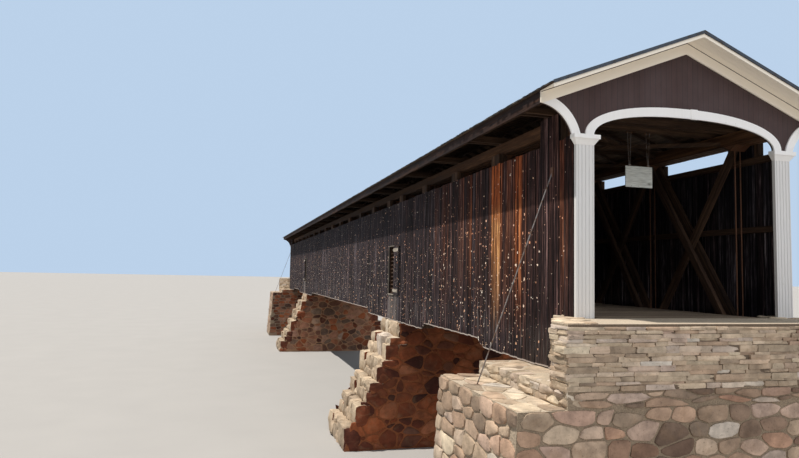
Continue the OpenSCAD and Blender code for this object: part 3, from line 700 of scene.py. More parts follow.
def mortar(name, warm_low, pale_low):
    """Rough lime mortar and small stones: pale where level or facing across, warm and dark where it looks along
    the bridge, which is partly stain and partly painted shade.
    """
    s = Shader(name, 0.95, 0.2)
    place = s.place()
    cloud = s.noise(place, 2.2, 5, 0.6)
    grit = s.noise(place, 60, 3, 0.65)
    pebbles = s.cells(place, 38)
    nx, _, up = s.normal()
    warm = s.mix(cloud, warm_low, tuple(min(1, c * 1.7) for c in warm_low))
    pale = s.mix(cloud, pale_low, tuple(min(1, c * 1.35) for c in pale_low))
    color = s.mix(s.larger(up.span(0.3, 0.7), abs(nx).span(0.5, 0.8, 0.0, 0.6)), warm, pale)
    color = s.shaded(color, grit.span(0.3, 0.7, 0.7, 1.25))
    color = s.mix(pebbles.span(0.0, 0.35, 0.35, 0.0), color, (0.16, 0.13, 0.1))
    return s.finish(color, grit * 0.6 - pebbles * 0.7, 0.9, 0.012)


def shingle_surface():
    """Weathered wood shingles, with a little moss."""
    s = Shader("shingle_surface", 0.85, 0.3)
    tone, _, _ = s.parts(s.attribute("look"))
    fibre = s.noise(s.attribute("grain"), (10, 130, 9), 4, 0.6)
    moss = s.noise(s.place(), (0.7, 0.7, 0.7), 5, 0.65)
    color = s.ramp(tone, (0.0, 0.028, 0.028, 0.032), (0.4, 0.06, 0.057, 0.057), (0.75, 0.11, 0.1, 0.092),
                   (1.0, 0.17, 0.145, 0.12))
    color = s.shaded(color, fibre.span(0.3, 0.7, 0.6, 1.35))
    color = s.mix(moss.span(0.52, 0.7, 0.0, 0.3), color, (0.1, 0.095, 0.07))
    return s.finish(color, fibre, 0.6, 0.004, fibre.span(0.3, 0.7, 0.95, 0.75))


def metal(name, color, rust, amount, roughness, metallic):
    """Iron or steel with rust in patches."""
    s = Shader(name, roughness)
    s.surface.inputs["Metallic"].default_value = metallic
    patch = s.noise(s.place(), 14, 5, 0.65)
    grit = s.noise(s.place(), 120, 2, 0.6)
    tint = s.mix(patch.span(0.6 - amount * 0.4, 0.75 - amount * 0.4), color, rust)
    tint = s.shaded(tint, grit.span(0.3, 0.7, 0.7, 1.25))
    return s.finish(tint, grit, 0.4, 0.002, patch.span(0.4, 0.7, roughness, min(1.0, roughness + 0.35)))


def board_surface():
    """The hanging board's faded paint, worn off along level streaks, with a blot and rusty nail holes."""
    s = Shader("board_surface", 0.7)
    place = s.place()
    streak = s.noise(place, (7, 7, 110), 4, 0.6)
    color = s.ramp(streak.span(0.3, 0.7), (0.0, 0.3, 0.31, 0.29), (0.35, 0.47, 0.49, 0.46),
                   (1.0, 0.66, 0.68, 0.64))
    color = s.mix(s.noise(place, 5, 4, 0.6).span(0.5, 0.75, 0.0, 0.5), color, (0.4, 0.38, 0.33))
    middle = (0.16, -16.4, 9.01)
    blot = s.node("VectorMath", 1, {"operation": "DISTANCE"}, i0=s.scaled(place, (1, 1, 1.7)), i1=middle)
    blot = blot + s.noise(place, 16, 3, 0.6) * 0.16
    color = s.mix(blot.span(0.085, 0.135, 0.8, 0.0), color, (0.09, 0.09, 0.07))
    spots = s.cells(s.scaled(place, (9, 1, 9)))
    color = s.mix(spots.span(0.03, 0.07, 0.9, 0.0), color, (0.07, 0.045, 0.03))
    return s.finish(color, streak, 0.4, 0.003)


DARK_TIMBER = (0.018, 0.01, 0.007), (0.052, 0.029, 0.018), (0.115, 0.067, 0.04)
old_timber = wood("old_timber", (0.018, 0.01, 0.007), (0.054, 0.03, 0.019), (0.12, 0.07, 0.042))
# The chord timbers and the crossways timbers get painted shade towards the middle of the bridge
chord_timber = wood("chord_timber", (0.032, 0.015, 0.008), (0.092, 0.043, 0.021), (0.2, 0.102, 0.053),
                    axis="y", inner=0.3)
timber_x = wood("timber_x", *DARK_TIMBER, axis="x", inner=0.5)
timber_y = wood("timber_y", *DARK_TIMBER, axis="y")
# Near black: dark old wood, and partly painted shade from the overhanging shingles
fascia_wood = wood("fascia_wood", (0.008, 0.004, 0.003), (0.023, 0.011, 0.008), (0.075, 0.036, 0.022),
                   cracks=0.7)
deck_wood = wood("deck_wood", (0.08, 0.058, 0.04), (0.17, 0.128, 0.09), (0.29, 0.225, 0.165), cracks=0.8)
roof_boards = wood("roof_boards", (0.03, 0.02, 0.014), (0.085, 0.055, 0.036), (0.16, 0.11, 0.075))
ledge_wood = wood("ledge_wood", (0.12, 0.1, 0.085), (0.3, 0.27, 0.23), (0.5, 0.46, 0.4))
siding = siding_wood()
GRAY_WOOD = (0.33, 0.28, 0.23)
facade_paint = paint("facade_paint", (0.05, 0.0245, 0.0225), (0.026, 0.014, 0.013), (0.13, 0.085, 0.065), 0.3,
                     boards=0.078, roughness=0.72)
white_paint = paint("white_paint", (0.88, 0.88, 0.885), (0.55, 0.53, 0.5), GRAY_WOOD, 0.6, stain=0.15)
pillar_paint = paint("pillar_paint", (0.69, 0.69, 0.69), (0.5, 0.48, 0.45), GRAY_WOOD, 0.6, stain=0.22)
cream_paint = paint("cream_paint", (0.94, 0.87, 0.76), (0.7, 0.62, 0.51), (0.36, 0.29, 0.22), 0.25,
                    stain=0.22, sloping=True)
stones = stone_surface("stones")
bedding = mortar("bedding", (0.2, 0.07, 0.03), (0.36, 0.3, 0.23))
far_bedding = mortar("far_bedding", (0.27, 0.155, 0.09), (0.36, 0.3, 0.23))
bank_bedding = mortar("bank_bedding", (0.2, 0.155, 0.11), (0.4, 0.34, 0.265))
dry_bedding = mortar("dry_bedding", (0.12, 0.09, 0.066), (0.4, 0.34, 0.265))
shingles = shingle_surface()
iron = metal("iron", (0.05, 0.042, 0.038), (0.14, 0.062, 0.032), 0.8, 0.6, 0.4)
rod_steel = metal("rod_steel", (0.2, 0.18, 0.17), (0.13, 0.075, 0.045), 0.4, 0.55, 0.4)
flashing = metal("flashing", (0.045, 0.055, 0.072), (0.06, 0.05, 0.045), 0.2, 0.55, 0.2)

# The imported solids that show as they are
for material, names in (
        (bedding, "near_pier"),
        (far_bedding, "far_pier"),
        (bank_bedding, "near_abutment far_abutment"),
        (dry_bedding, "near_wing_walls far_wing_walls"),
        (chord_timber, "left_upper_chord right_upper_chord left_lower_chord right_lower_chord"),
        (timber_y, "bolsters floor_joists left_girts right_girts ridge_board eave_plates left_louvres "
                   "right_louvres"),
        (timber_x, "floor_beams tie_beams lateral_braces left_rafters right_rafters"),
        (iron, "truss_rods washer_plates angle_blocks board_hooks"),
        (rod_steel, "stays board_hangers"),
        (white_paint, "capitals arch_trims"),
        (pillar_paint, "pillars"),
        (cream_paint, "near_frieze far_frieze"),
        (facade_paint, "near_facade far_facade"),
        (board_surface(), "hanging_board")):
    for name in names.split():
        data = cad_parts[name].data
        data.materials.clear()
        data.materials.append(material)


# Side walls

# Where the siding's lower edge starts to fall or rise: it is low over each pier and beside each portal
LOW_HALF, LOW_PORTAL, EASE_LEN = 2.45, 2.695, 0.325
EASE = ((PIER_Y - LOW_HALF - EASE_LEN, CHORD_BOTTOM, SIDING_LOW),
        (PIER_Y + LOW_HALF, SIDING_LOW, CHORD_BOTTOM),
        (PORTAL_Y - LOW_PORTAL - EASE_LEN, CHORD_BOTTOM, SIDING_LOW))


def low_edge(y):
    """Lower edge of the siding, which curves up between the supports."""
    y = abs(y)
    height = CHORD_BOTTOM
    for start, before, after in EASE:
        if y >= start:
            t = min(1, (y - start) / EASE_LEN)
            height = before + (after - before) * (1 - math.cos(math.pi * t)) / 2
    return height


# Bare boards that show in the photo before CORNER_Y on the left wall: from, to, strength
WARM_BOARDS = [(-15.2, -14.9, 1.0), (-15.33, -15.2, 0.7), (-15.92, -15.72, 0.93), (-15.74, -15.4, 0.3),
               (-14.14, -13.98, 0.65), (-13.75, -13.65, 0.3), (-13.2, -13.1, 0.3), (-17.1, -16.95, 0.35)]
CORNER_Y = -12


def side_boards(side, word):
    """A wall's boards, cut round the windows. On the left wall they grow gray towards the middle."""
    rng = random.Random(11 if side < 0 else 12)
    mesh = Mesh()
    for y, width in lengths(-INNER_Y, INNER_Y, lambda: rng.uniform(0.095, 0.15), 0.05, 0.02):
        a, b = y + rng.uniform(0.001, 0.003), y + width - rng.uniform(0.001, 0.003)
        middle = (a + b) / 2
        warm = 0.0
        if side < 0 and middle < CORNER_Y:
            for start, end, strength in WARM_BOARDS:
                if start < middle < end:
                    warm = strength
            warm = warm or rng.choice((0.0, 0.03, 0.06, 0.1, 0.2))
        elif side > 0 and rng.random() < 0.12:
            warm = rng.uniform(0.15, 0.6)
        age = (middle + PORTAL_Y) / (2 * PORTAL_Y) if side < 0 else 0.4
        tone = held(0.1 + 0.7 * min(1, age * 2.2) - 0.5 * max(0, age - 0.33) + rng.uniform(-0.3, 0.3))
        out = side * (WALL_X + rng.uniform(-0.002, 0.002))
        mark = rng.uniform(0, 90)
        top = SIDING_TOP + rng.uniform(-0.012, 0.006)
        if TABS[0] < abs(middle) < TABS[1]:
            top = UPPER_TOP - rng.uniform(0, 0.006)
        drop = rng.uniform(-0.007, 0.007)
        bottom = [(a, low_edge(a) + drop), (b, low_edge(b) + drop + rng.uniform(-0.003, 0.003))]
        past = abs(middle) - PIER_Y
        parts = [(bottom, top, tone)]
        if abs(past) < WINDOW_W / 2 + width / 2:
            parts = [(bottom, SILL_Z, rng.uniform(1.1, 1.5)), ([(a, HEAD_Z), (b, HEAD_Z)], top, tone)]
            jambs = [math.copysign(PIER_Y, middle) + k * WINDOW_W / 2 for k in (-1, 1)]
            if a < jambs[0] < b:
                parts.append(([(a, SILL_Z), (jambs[0], SILL_Z)], HEAD_Z, tone))
            elif a < jambs[1] < b:
                parts.append(([(jambs[1], SILL_Z), (b, SILL_Z)], HEAD_Z, tone))
        elif 0 < past < WINDOW_W / 2 + SHUTTER_W + 0.01:
            parts = [(bottom, SILL_Z, rng.uniform(1.0, 1.4)), ([(a, SILL_Z), (b, SILL_Z)], top, tone)]
        for low, high, shade in parts:
            outline = [*low, (low[1][0], high), (low[0][0], high)]
            board(mesh, outline, side * SIDING_X, out, shade, warm, mark, min(bottom[0][1], bottom[1][1]))
    mesh.piece(word + "_boards", siding, "dark_siding", [word + "_siding"])


for side, word in SIDES:
    side_boards(side, word)


def slot_blocks(side, word):
    """Short blocks that divide the slot at the panel points, and the studs beside the portals."""
    rng = random.Random(21)
    mesh = Mesh()
    blocks = [(y - 0.148 + k * 0.15 + 0.146 / 2, 0.04, UPPER_Z - 0.001, 0.146, 0.078)
              for y in POINTS[1:-1] for k in range(2)]
    studs = [(end * y, 0.05, UPPER_TOP, 0.07, 0.095) for end in (-1, 1) for y in STUDS]
    for y, out, top, width, depth in blocks + studs:
        x = side * (TRUSS_OUT + out)
        timber(mesh, (x, y, SIDING_TOP + 0.001), (x, y, top), width, depth, rng.random(), rng, ALONG)
    mesh.piece(word + "_blocks", old_timber, "dark_siding", [word + "_slot_blocks"])


for side, word in SIDES:
    slot_blocks(side, word)


# How far out from the shutter, from where to where along it, width, depth and chamfer
STRAP = (0.021, 0.004, 0.4, 0.08, 0.008, 0.002)
HINGE = (0.012, -0.045, 0.01, 0.045, 0.03, 0.003)


def shutters():
    """Each shutter's four boards and two hinges, and the trim round its window."""
    boards, trim = Mesh(), Mesh()
    rng = random.Random(31)
    for side, end in CORNERS:
        edge = end * (PIER_Y + WINDOW_W / 2 + 0.01)
        face = WALL_X + 0.005
        for k in range(4):
            w = SHUTTER_W / 4
            y0 = edge + end * k * w
            lo, hi = sorted((y0 + end * GAP / 2, y0 + end * (w - GAP / 2)))
            z0, z1 = SILL_Z + rng.uniform(-0.006, 0.004), HEAD_Z + rng.uniform(-0.004, 0.006)
            board(boards, [(lo, z0), (hi, z0), (hi, z1), (lo, z1)], side * face, side * (face + 0.018),
                  rng.uniform(0.5, 0.9), 0, rng.uniform(0, 60), CHORD_BOTTOM)
        for z, (out, start, stop, *section, chamfer) in product((SILL_Z + 0.09, HEAD_Z - 0.09), (STRAP, HINGE)):
            x = side * (face + out)
            y0, y1 = edge + end * start, edge + end * stop
            timber(trim, (x, y0, z), (x, y1, z), *section, 0.9, rng, UP, chamfer)
        x = side * (WALL_X + 0.01)
        y0, y1 = sorted(end * (PIER_Y + k * (WINDOW_W / 2 + 0.02)) for k in (-1, 1))
        for z, tone in ((SILL_Z - 0.012, 0.7), (HEAD_Z + 0.012, 0.0)):
            timber(trim, (x, y0, z), (x, y1, z), 0.024, 0.026, tone, rng, UP, 0.003, 0.003)
        y = end * (PIER_Y - WINDOW_W / 2 - 0.007)
        timber(trim, (x, y, SILL_Z), (x, y, HEAD_Z), 0.014, 0.026, 0.0, rng, ALONG, 0.003, 0.002)
    boards.piece("shutter_boards", siding, "dark_siding", ["shutters"])
    trim.piece("shutter_straps", ledge_wood, "dark_siding")


shutters()


# Trusses and deck

def braces(side, word):
    """The crossing braces, as whole timbers with their own grain. The middle leaf leans the other way."""
    rng = random.Random(41)
    mesh = Mesh()
    base = DECK_Z - DECK_T - JOIST_H - BEAM_H
    clear = UPPER_Z - base
    angle = math.atan(clear / PANEL)
    for _ in range(14):
        angle = math.atan((clear - BRACE_BEARING * math.cos(2 * angle) / math.cos(angle)) / PANEL)
    half, rise = BRACE_BEARING * math.sin(angle), BRACE_BEARING * math.cos(angle)
    leaves = [TRUSS_OUT - LEAF_W / 2 - k * (LEAF_W + LEAF_GAP) for k in range(3)]
    for y0, lean in PANELS:
        for k, x in enumerate(leaves):
            y1, y2 = y0 + half / 2, y0 + PANEL - half / 2
            if (lean < 0) != (k == 1):
                y1, y2 = y2, y1
            timber(mesh, (side * x, y1, base + rise / 2), (side * x, y2, UPPER_Z - rise / 2), LEAF_W, BRACE_D,
                   rng.uniform(0.2, 1), rng)
    mesh.piece(word + "_brace_timbers", old_timber, "old_timber", [word + "_braces"])


for side, word in SIDES:
    braces(side, word)


def deck_planks():
    """The roadway's planks, laid across."""
    rng = random.Random(51)
    mesh = Mesh()
    half = TRUSS_IN - 0.015
    for y, w in lengths(-INNER_Y, INNER_Y, lambda: rng.uniform(0.11, 0.15), slack=0.03):
        z = DECK_Z - DECK_T / 2 + rng.uniform(-0.003, 0.0)
        left, right = -half + rng.uniform(0, 0.01), half - rng.uniform(0, 0.01)
        timber(mesh, (left, y + w / 2, z), (right, y + w / 2, z), w - 0.004, DECK_T, rng.random(), rng, ALONG,
               0.003)
    mesh.piece("deck_planks", deck_wood, "deck_planks", ["deck"])


deck_planks()


# Roof

SLAB_FACES = [(0, 1, 3, 2), (4, 6, 7, 5), (0, 4, 5, 1), (2, 3, 7, 6), (0, 2, 6, 4), (1, 5, 7, 3)]
ROOF_BOARD_W = 0.105
SHINGLE_EXPOSURE, SHINGLE_LENGTH, SHINGLE_OVERHANG = 0.074, 1.35 * 0.074, 0.034
SHINGLE_Y = RAKE_Y + 0.012


def slope_point(side, s, y, h):
    """A point s up the slope from the eave and h above the rafters."""
    x = ROOF_HALF - s * COS
    return (side * (x + h * SIN), y, roof_under(ROOF_HALF) + s * SIN + h * COS)


def roof_slope(side, word):
    """One slope's boards, and its shingles in courses."""
    rng = random.Random(61 if side < 0 else 62)
    mesh = Mesh()
    for s, w in lengths(0.0, SLOPE_LENGTH, lambda: ROOF_BOARD_W, slack=0.02):
        for y, length in lengths(-RAKE_Y, RAKE_Y, lambda: rng.choice((1.8, 2.4, 3.0)), 0.4, 0.05):
            mark = rng.uniform(0, 80)
            points = [slope_point(side, q, yy, h) for q in (s + 0.002, s + w - 0.002)
                      for yy in (y + 0.001, y + length - 0.001) for h in (0, BOARD_T)]
            grain = [(p[1], p[0], mark) for p in points]
            mesh.add(points, SLAB_FACES, grain, (rng.random(), 0, 0), flip=side < 0)
    mesh.piece(word + "_shingles_boards", roof_boards, "old_timber")

    mesh = Mesh()
    faces = [(0, 1, 2, 3), (4, 5, 1, 0), (7, 4, 0, 3), (5, 6, 2, 1)]
    first = True
    s = -SHINGLE_OVERHANG
    while s < SLOPE_LENGTH - 0.01:
        top = min(s + SHINGLE_LENGTH, SLOPE_LENGTH)
        for y, w in lengths(-SHINGLE_Y - rng.uniform(0, 0.05), SHINGLE_Y, lambda: rng.uniform(0.055, 0.12)):
            a, b = max(y, -SHINGLE_Y) + GAP / 2, y + w - GAP / 2
            if b - a < 0.012:
                continue
            butt = s + (rng.uniform(-0.02, 0.01) if first else rng.uniform(-0.006, 0.006))
            t, mark, slip = rng.uniform(0.011, 0.017), rng.uniform(0, 90), rng.uniform(-0.003, 0.003)
            upper = (butt, a, t), (butt + slip, b, t), (top, b, 0.004), (top, a, 0.004)
            under = [(q, yy, -0.002) for q, yy in ((butt, a), (butt, b), (top, b), (top, a))]
            points = [slope_point(side, q, yy, BOARD_T + h) for q, yy, h in (*upper, *under)]
            grain = [(q - butt, yy - (a + b) / 2, mark) for q, yy, _ in under * 2]
            shown = faces + [(7, 6, 5, 4)] if first else faces
            mesh.add(points, shown, grain, (rng.random(), 0, 0), flip=side < 0)
        s += SHINGLE_EXPOSURE
        first = False
    mesh.piece(word + "_shingles", shingles, "shingles", [word + "_roof"])


for side, word in SIDES:
    roof_slope(side, word)


def ridge():
    """Ridge shingles, laid in overlapping pairs along the ridge."""
    rng = random.Random(71)
    mesh = Mesh()
    step = 0.075
    for y, _ in lengths(-RAKE_Y, RAKE_Y, lambda: step, slack=0.01):
        for side in (-1, 1):
            reach = 0.13 + rng.uniform(-0.006, 0.006)
            butt, tail = 0.036 + rng.uniform(-0.001, 0.002), 0.029
            end = min(y + step * 1.4, RAKE_Y)
            points = [(side * x, yy, roof_under(x) + h / COS)
                      for yy, t in ((y, butt), (end, tail)) for x in (0.0, reach) for h in (BOARD_T, t)]
            mark = rng.uniform(0, 90)
            mesh.add(points, [(0, 2, 3, 1), (4, 5, 7, 6), (1, 3, 7, 5), (2, 6, 7, 3)],
                     [(abs(p[0]), p[1], mark) for p in points], (rng.random(), 0, 0), flip=side < 0)
    mesh.piece("ridge_shingles", shingles, "shingles", ["ridge_cap"])


ridge()


def strips(name, material, slot, profile, start, half, tone):
    """A strip up each slope at each portal. Its profile gives places out from start and above the rafters."""
    mesh = Mesh()
    faces = sleeve(len(profile), 2) + caps(len(profile), 2)
    for end, side in CORNERS:
        points = [(side * x, end * (start + a), roof_under(x) + h) for x in (0.0, half) for a, h in profile]
        mesh.add(points, faces, points, (tone, 0, 0), flip=side * end < 0)
    mesh.piece(name, material, slot)


# Dark metal over the shingles' ends at each rake, turned down over the outer board
EDGE = [(0, -0.002), (0.003, -0.002), (0.003, 0.037), (-0.035, 0.037), (-0.035, 0.034), (0, 0.034)]
strips("rake_edges", flashing, "shingles", [(a, h / COS) for a, h in EDGE], SHINGLE_Y, ROOF_HALF + 0.004, 0)


def fascias():
    """The dark boards along the eaves, dark partly from painted shade under the overhanging shingles."""
    rng = random.Random(81)
    mesh = Mesh()
    low, high = roof_under(ROOF_HALF) - FASCIA_H, roof_under(ROOF_HALF) - 0.001
    reach = PORTAL_Y - TRIM_T
    for side in (-1, 1):
        for y, length in lengths(-reach, reach, lambda: rng.choice((1.83, 2.44, 2.44)), 0.5, 0.05):
            x = side * (TRIM_HALF + TRIM_T / 2 + rng.uniform(0, 0.002))
            timber(mesh, (x, y + 0.002, (low + high) / 2 + rng.uniform(-0.002, 0.002)),
                   (x, y + length - 0.002, (low + high) / 2 + rng.uniform(-0.002, 0.002)), high - low, TRIM_T,
                   rng.random(), rng, UP, 0.002)
    mesh.piece("fascia_boards", fascia_wood, "dark_siding", ["eave_fascias"])


fascias()


def soffits():
    """Three painted boards under the roof beyond each portal."""
    rng = random.Random(91)
    mesh = Mesh()
    pitch = 0.093
    for end, side in CORNERS:
        for k in range(3):
            a, b = PORTAL_Y + pitch * k + 0.001, PORTAL_Y + pitch * (k + 1) - 0.001
            points = [(side * x, y, roof_under(x) + h) for y in sorted((end * a, end * b))
                      for x in (0.0, ROOF_HALF - 0.002) for h in (-0.012, -0.001)]
            mesh.add(points, SLAB_FACES, points, (rng.random(), 0, 0), flip=side > 0)
    mesh.piece("soffit_boards", cream_paint, "cream_paint")


soffits()


def arch_splices():
    """A short board over the joint in each arch's trim, right of its crown as seen from the near side."""
    rng = random.Random(93)
    mesh = Mesh()
    x, width, low, high = 0.095, 0.104, 5.99, 6.085
    for end in (-1, 1):
        y = end * (PORTAL_Y + 0.0025)
        timber(mesh, (x, y, low), (x, y, high), width, 0.008, 0.5, rng, ACROSS, 0.002, 0.001)
    mesh.piece("arch_splices", white_paint, "white_paint")


arch_splices()

# A narrow strip of painted shadow where the frieze meets the soffit
SHADOW_LINE = [(0.0, -0.013), (0.0015, -0.013), (0.0015, -0.021), (0.0, -0.021)]
strips("frieze_shadow_lines", facade_paint, "cream_paint", SHADOW_LINE, PORTAL_Y, ROOF_HALF - 0.004, 0.5)


def hex_nuts():
    """A nut on each end of the truss rods, over its washer plate."""
    rng = random.Random(95)
    mesh = Mesh()
    plate, high, radius, bevel = 0.01, 0.014, 0.016, 0.003
    rings = ((radius, 0.0), (radius, high - bevel), (radius - bevel, high))
    rows = TRUSS_OUT - LEAF_W - LEAF_GAP / 2, TRUSS_OUT - 2 * LEAF_W - 1.5 * LEAF_GAP
    seats = (UPPER_TOP + plate, 1), (CHORD_BOTTOM - plate, -1)
    for side, y, x, (base, up) in product((-1, 1), POINTS, rows, seats):
        turn = rng.uniform(0, 1)
        spokes = [turn + k * math.pi / 3 for k in range(6)]
        points = [(side * x + r * math.cos(t), y + r * math.sin(t), base + up * h)
                  for r, h in rings for t in spokes]
        mesh.add(points, sleeve(6, 3) + caps(6, 3), points, (0, 0, 0), flip=up < 0)
    mesh.piece("rod_nuts", iron, "iron")


hex_nuts()


# Masonry

SMOOTH = 38
ROUND_STONES = {"joint": 0.022, "wander": 0.26, "mixed": 0.5, "most": 0.3}


def trapezoid(low, high, half_low, half_high):
    """An outline that is as wide as given at its lower and its upper edge."""
    return [(-half_low, low), (half_low, low), (half_high, high), (-half_high, high)]


def mirrored(corners, across, along):
    """An outline with its two axes turned by the given signs, which stays anticlockwise."""
    outline = [(across * x, along * y) for x, y in corners]
    return outline[::-1] if across * along < 0 else outline


def pier_stones(end, word):
    """A pier's two broad faces, and the squared blocks down its stepped ends."""
    rng = random.Random(101 if end < 0 else 102)
    mesh = Mesh()
    cheek = SEAT_Z - PIER_CHEEK
    dx, dz = PIER_SPREAD / PIER_STEPS, cheek / PIER_STEPS
    tilt = BATTER / SEAT_Z
    scale = math.hypot(1, tilt)

    def half_at(z):
        """Half width of the pier at a height: upright cheeks over rough steps."""
        if z > cheek:
            return WALL_X
        i = min(PIER_STEPS - 1, int((cheek - z) / dz))
        t = (cheek - z - i * dz) / dz
        return WALL_X + i * dx + 0.45 * dx + 0.55 * dx * t

    def limits(u, v):
        z = v / scale
        if not 0.02 < z < SEAT_Z - 0.02 or abs(u) > half_at(z) - 0.05:
            return None
        step = half_at(z) + 0.005
        return [(0, -1, -0.012), (0, 1, SEAT_Z * scale - 0.004), (1, 0, step), (-1, 0, step)]

    # The broad faces look along the bridge and lie in shade; their red, dark stones are partly stain, partly
    # painted shade
    for face in (-1, 1):
        rubble(mesh, (0, end * PIER_Y + face * (PIER_HALF + BATTER), 0), (-face, 0, 0),
               Vector((0, -face * tilt, 1)).normalized(), trapezoid(0, SEAT_Z * scale, FOOT_HALF, FOOT_HALF),
               rng, size=(0.29, 0.2), joint=0.032, height=0.015, warm=1.12 if end < 0 else 0.82,
               limits=limits, wander=0.45, mixed=1.3, most=0.36)
    for side in (-1, 1):
        for i in range(-1, PIER_STEPS):
            z1 = cheek - i * dz if i >= 0 else SEAT_Z - 0.004
            z0 = max(0.004, cheek - (i + 1) * dz)
            reach = PIER_HALF + BATTER * (1 - (z0 + z1) / 2 / SEAT_Z)
            start, stop = end * PIER_Y - reach, end * PIER_Y + reach
            for y, w in lengths(start, stop, lambda: rng.uniform(0.2, 0.5), 0.16, 0.05):
                cuts = sorted(rng.uniform(0.3, 0.7) for _ in range(rng.choice((0, 1, 1))))
                # A row's end boulders get red, dark faces where they look along the bridge: partly stain, partly
                # painted shade
                outer = 1 if y < start + 0.01 or y + w > stop - 0.01 else 0
                levels = [z0, *(z0 + (z1 - z0) * c for c in cuts), z1]
                for low, high in zip(levels, levels[1:]):
                    if high - low < 0.03:
                        continue
                    deep = rng.uniform(0.34, 0.44)
                    out = half_at(low + 0.02) + rng.uniform(0.02, 0.055) + (0.06 if i == 0 else 0)
                    look = (rng.uniform(0, 1 if i < 1 else 0.45), rng.uniform(0, 0.15), outer)
                    boulder(mesh, (side * (out - deep / 2), y + w / 2, (low + high) / 2),
                            (deep / 2, w / 2 * 1.08, (high - low) / 2 * 1.12), look, rng,
                            rng.uniform(-0.06, 0.06), rng.uniform(0.3, 0.5), 0.13, 5)
    mesh.piece(word + "_pier_stones", stones, "rubble_masonry", smooth=SMOOTH)


for end, word in ENDS:
    pier_stones(end, word)


def abutment_stones(end, word):
    """Round stones on an abutment's faces and shoulders, with flat ones along the edges of its seat."""
    rng = random.Random(111 if end < 0 else 112)
    mesh = Mesh()
    # The river face, in shade, is the reddest, the sides and level tops palest: partly stain, partly painted shade
    for face, y0, lean, warm in ((-1, RIVER_Y - BATTER, BATTER / SEAT_Z, 0.9), (1, BACK_Y, 0.0, 0.45)):
        k = math.hypot(1, lean)
        axes = (0, end * y0, 0), (-face * end, 0, 0), Vector((0, end * lean, 1)).normalized()
        rubble(mesh, *axes, trapezoid(0.01 * k, SHOULDER_Z * k, FOOT_HALF, SHOULDER_HALF), rng,
               size=(0.34, 0.175), height=0.017, warm=warm, **ROUND_STONES)
        rubble(mesh, *axes, trapezoid(SHOULDER_Z * k, SEAT_Z * k, SEAT_HALF, SEAT_HALF), rng,
               size=(0.34, 0.09), joint=0.016, height=0.016, warm=warm)
    tilt = BATTER / SHOULDER_Z
    high = SHOULDER_Z * math.hypot(1, tilt)
    top_river = RIVER_Y - BATTER * (1 - SHOULDER_Z / SEAT_Z)
    wall = [(RIVER_Y - BATTER, 0.01), (BACK_Y, 0.01), (BACK_Y, high), (top_river, high)]
    flat = [(SEAT_HALF, top_river), (SHOULDER_HALF, top_river), (SHOULDER_HALF, BACK_Y), (SEAT_HALF, BACK_Y)]
    for side in (-1, 1):
        rubble(mesh, (side * FOOT_HALF, 0, 0), (0, side, 0), Vector((-side * tilt, 0, 1)).normalized(),
               mirrored(wall, side * end, 1), rng, size=(0.34, 0.17), height=0.024, warm=0.3, **ROUND_STONES)
        rubble(mesh, (0, 0, SHOULDER_Z), ACROSS, ALONG, mirrored(flat, side, end), rng, size=(0.26, 0.34),
               joint=0.03, height=0.014, warm=0.12)
        for z0, z1 in ((SHOULDER_Z, SHOULDER_Z + 0.09), (SHOULDER_Z + 0.09, SEAT_Z)):
            for y, w in lengths(RIVER_Y, BACK_Y, lambda: rng.uniform(0.2, 0.4), slack=0.05):
                deep = rng.uniform(0.2, 0.3)
                boulder(mesh, (side * (SEAT_HALF + 0.01 - deep / 2), end * (y + w / 2), (z0 + z1) / 2),
                        (deep / 2, w / 2, 0.047), (rng.uniform(0.4, 1), rng.uniform(0, 0.2), 0), rng)
    seat = trapezoid(RIVER_Y, RIVER_Y + 1.1, SEAT_HALF, SEAT_HALF)
    rubble(mesh, (0, 0, SEAT_Z), ACROSS, ALONG, mirrored(seat, 1, end), rng, size=(0.34, 0.3), joint=0.03,
           height=0.004, warm=0.15)
    mesh.piece(word + "_abutment_stones", stones, "rubble_masonry", smooth=SMOOTH)


for end, word in ENDS:
    abutment_stones(end, word)


def dry_wall(mesh, a, b, z0, z1, rng, warm=0.12):
    """Flat stones laid dry in thin courses along a line from a to b, seen from its right-hand side."""
    a, b = Vector((*a, 0)), Vector((*b, 0))
    length = (b - a).length
    along = (b - a) / length
    outward = along.cross(Vector(UP))
    turn = math.atan2(along.y, along.x)
    for z, t in lengths(z0, z1, lambda: rng.uniform(0.03, 0.072), 0.025, 0.012):
        for s, w in lengths(-rng.uniform(0, 0.05), length, lambda: rng.uniform(0.13, 0.42), slack=0.02):
            deep = rng.uniform(0.16, 0.26)
            out = rng.uniform(0.006, 0.03)
            centre = a + along * (s + w / 2) + outward * (out - deep / 2)
            look = (rng.uniform(0.15, 1), held(rng.gauss(warm, 0.1)), 0)
            boulder(mesh, (centre.x, centre.y, z + t / 2), (w / 2 * 1.01, deep / 2, t / 2 * 1.05), look, rng,
                    turn + rng.uniform(-0.05, 0.05), 0.14, 0.07)


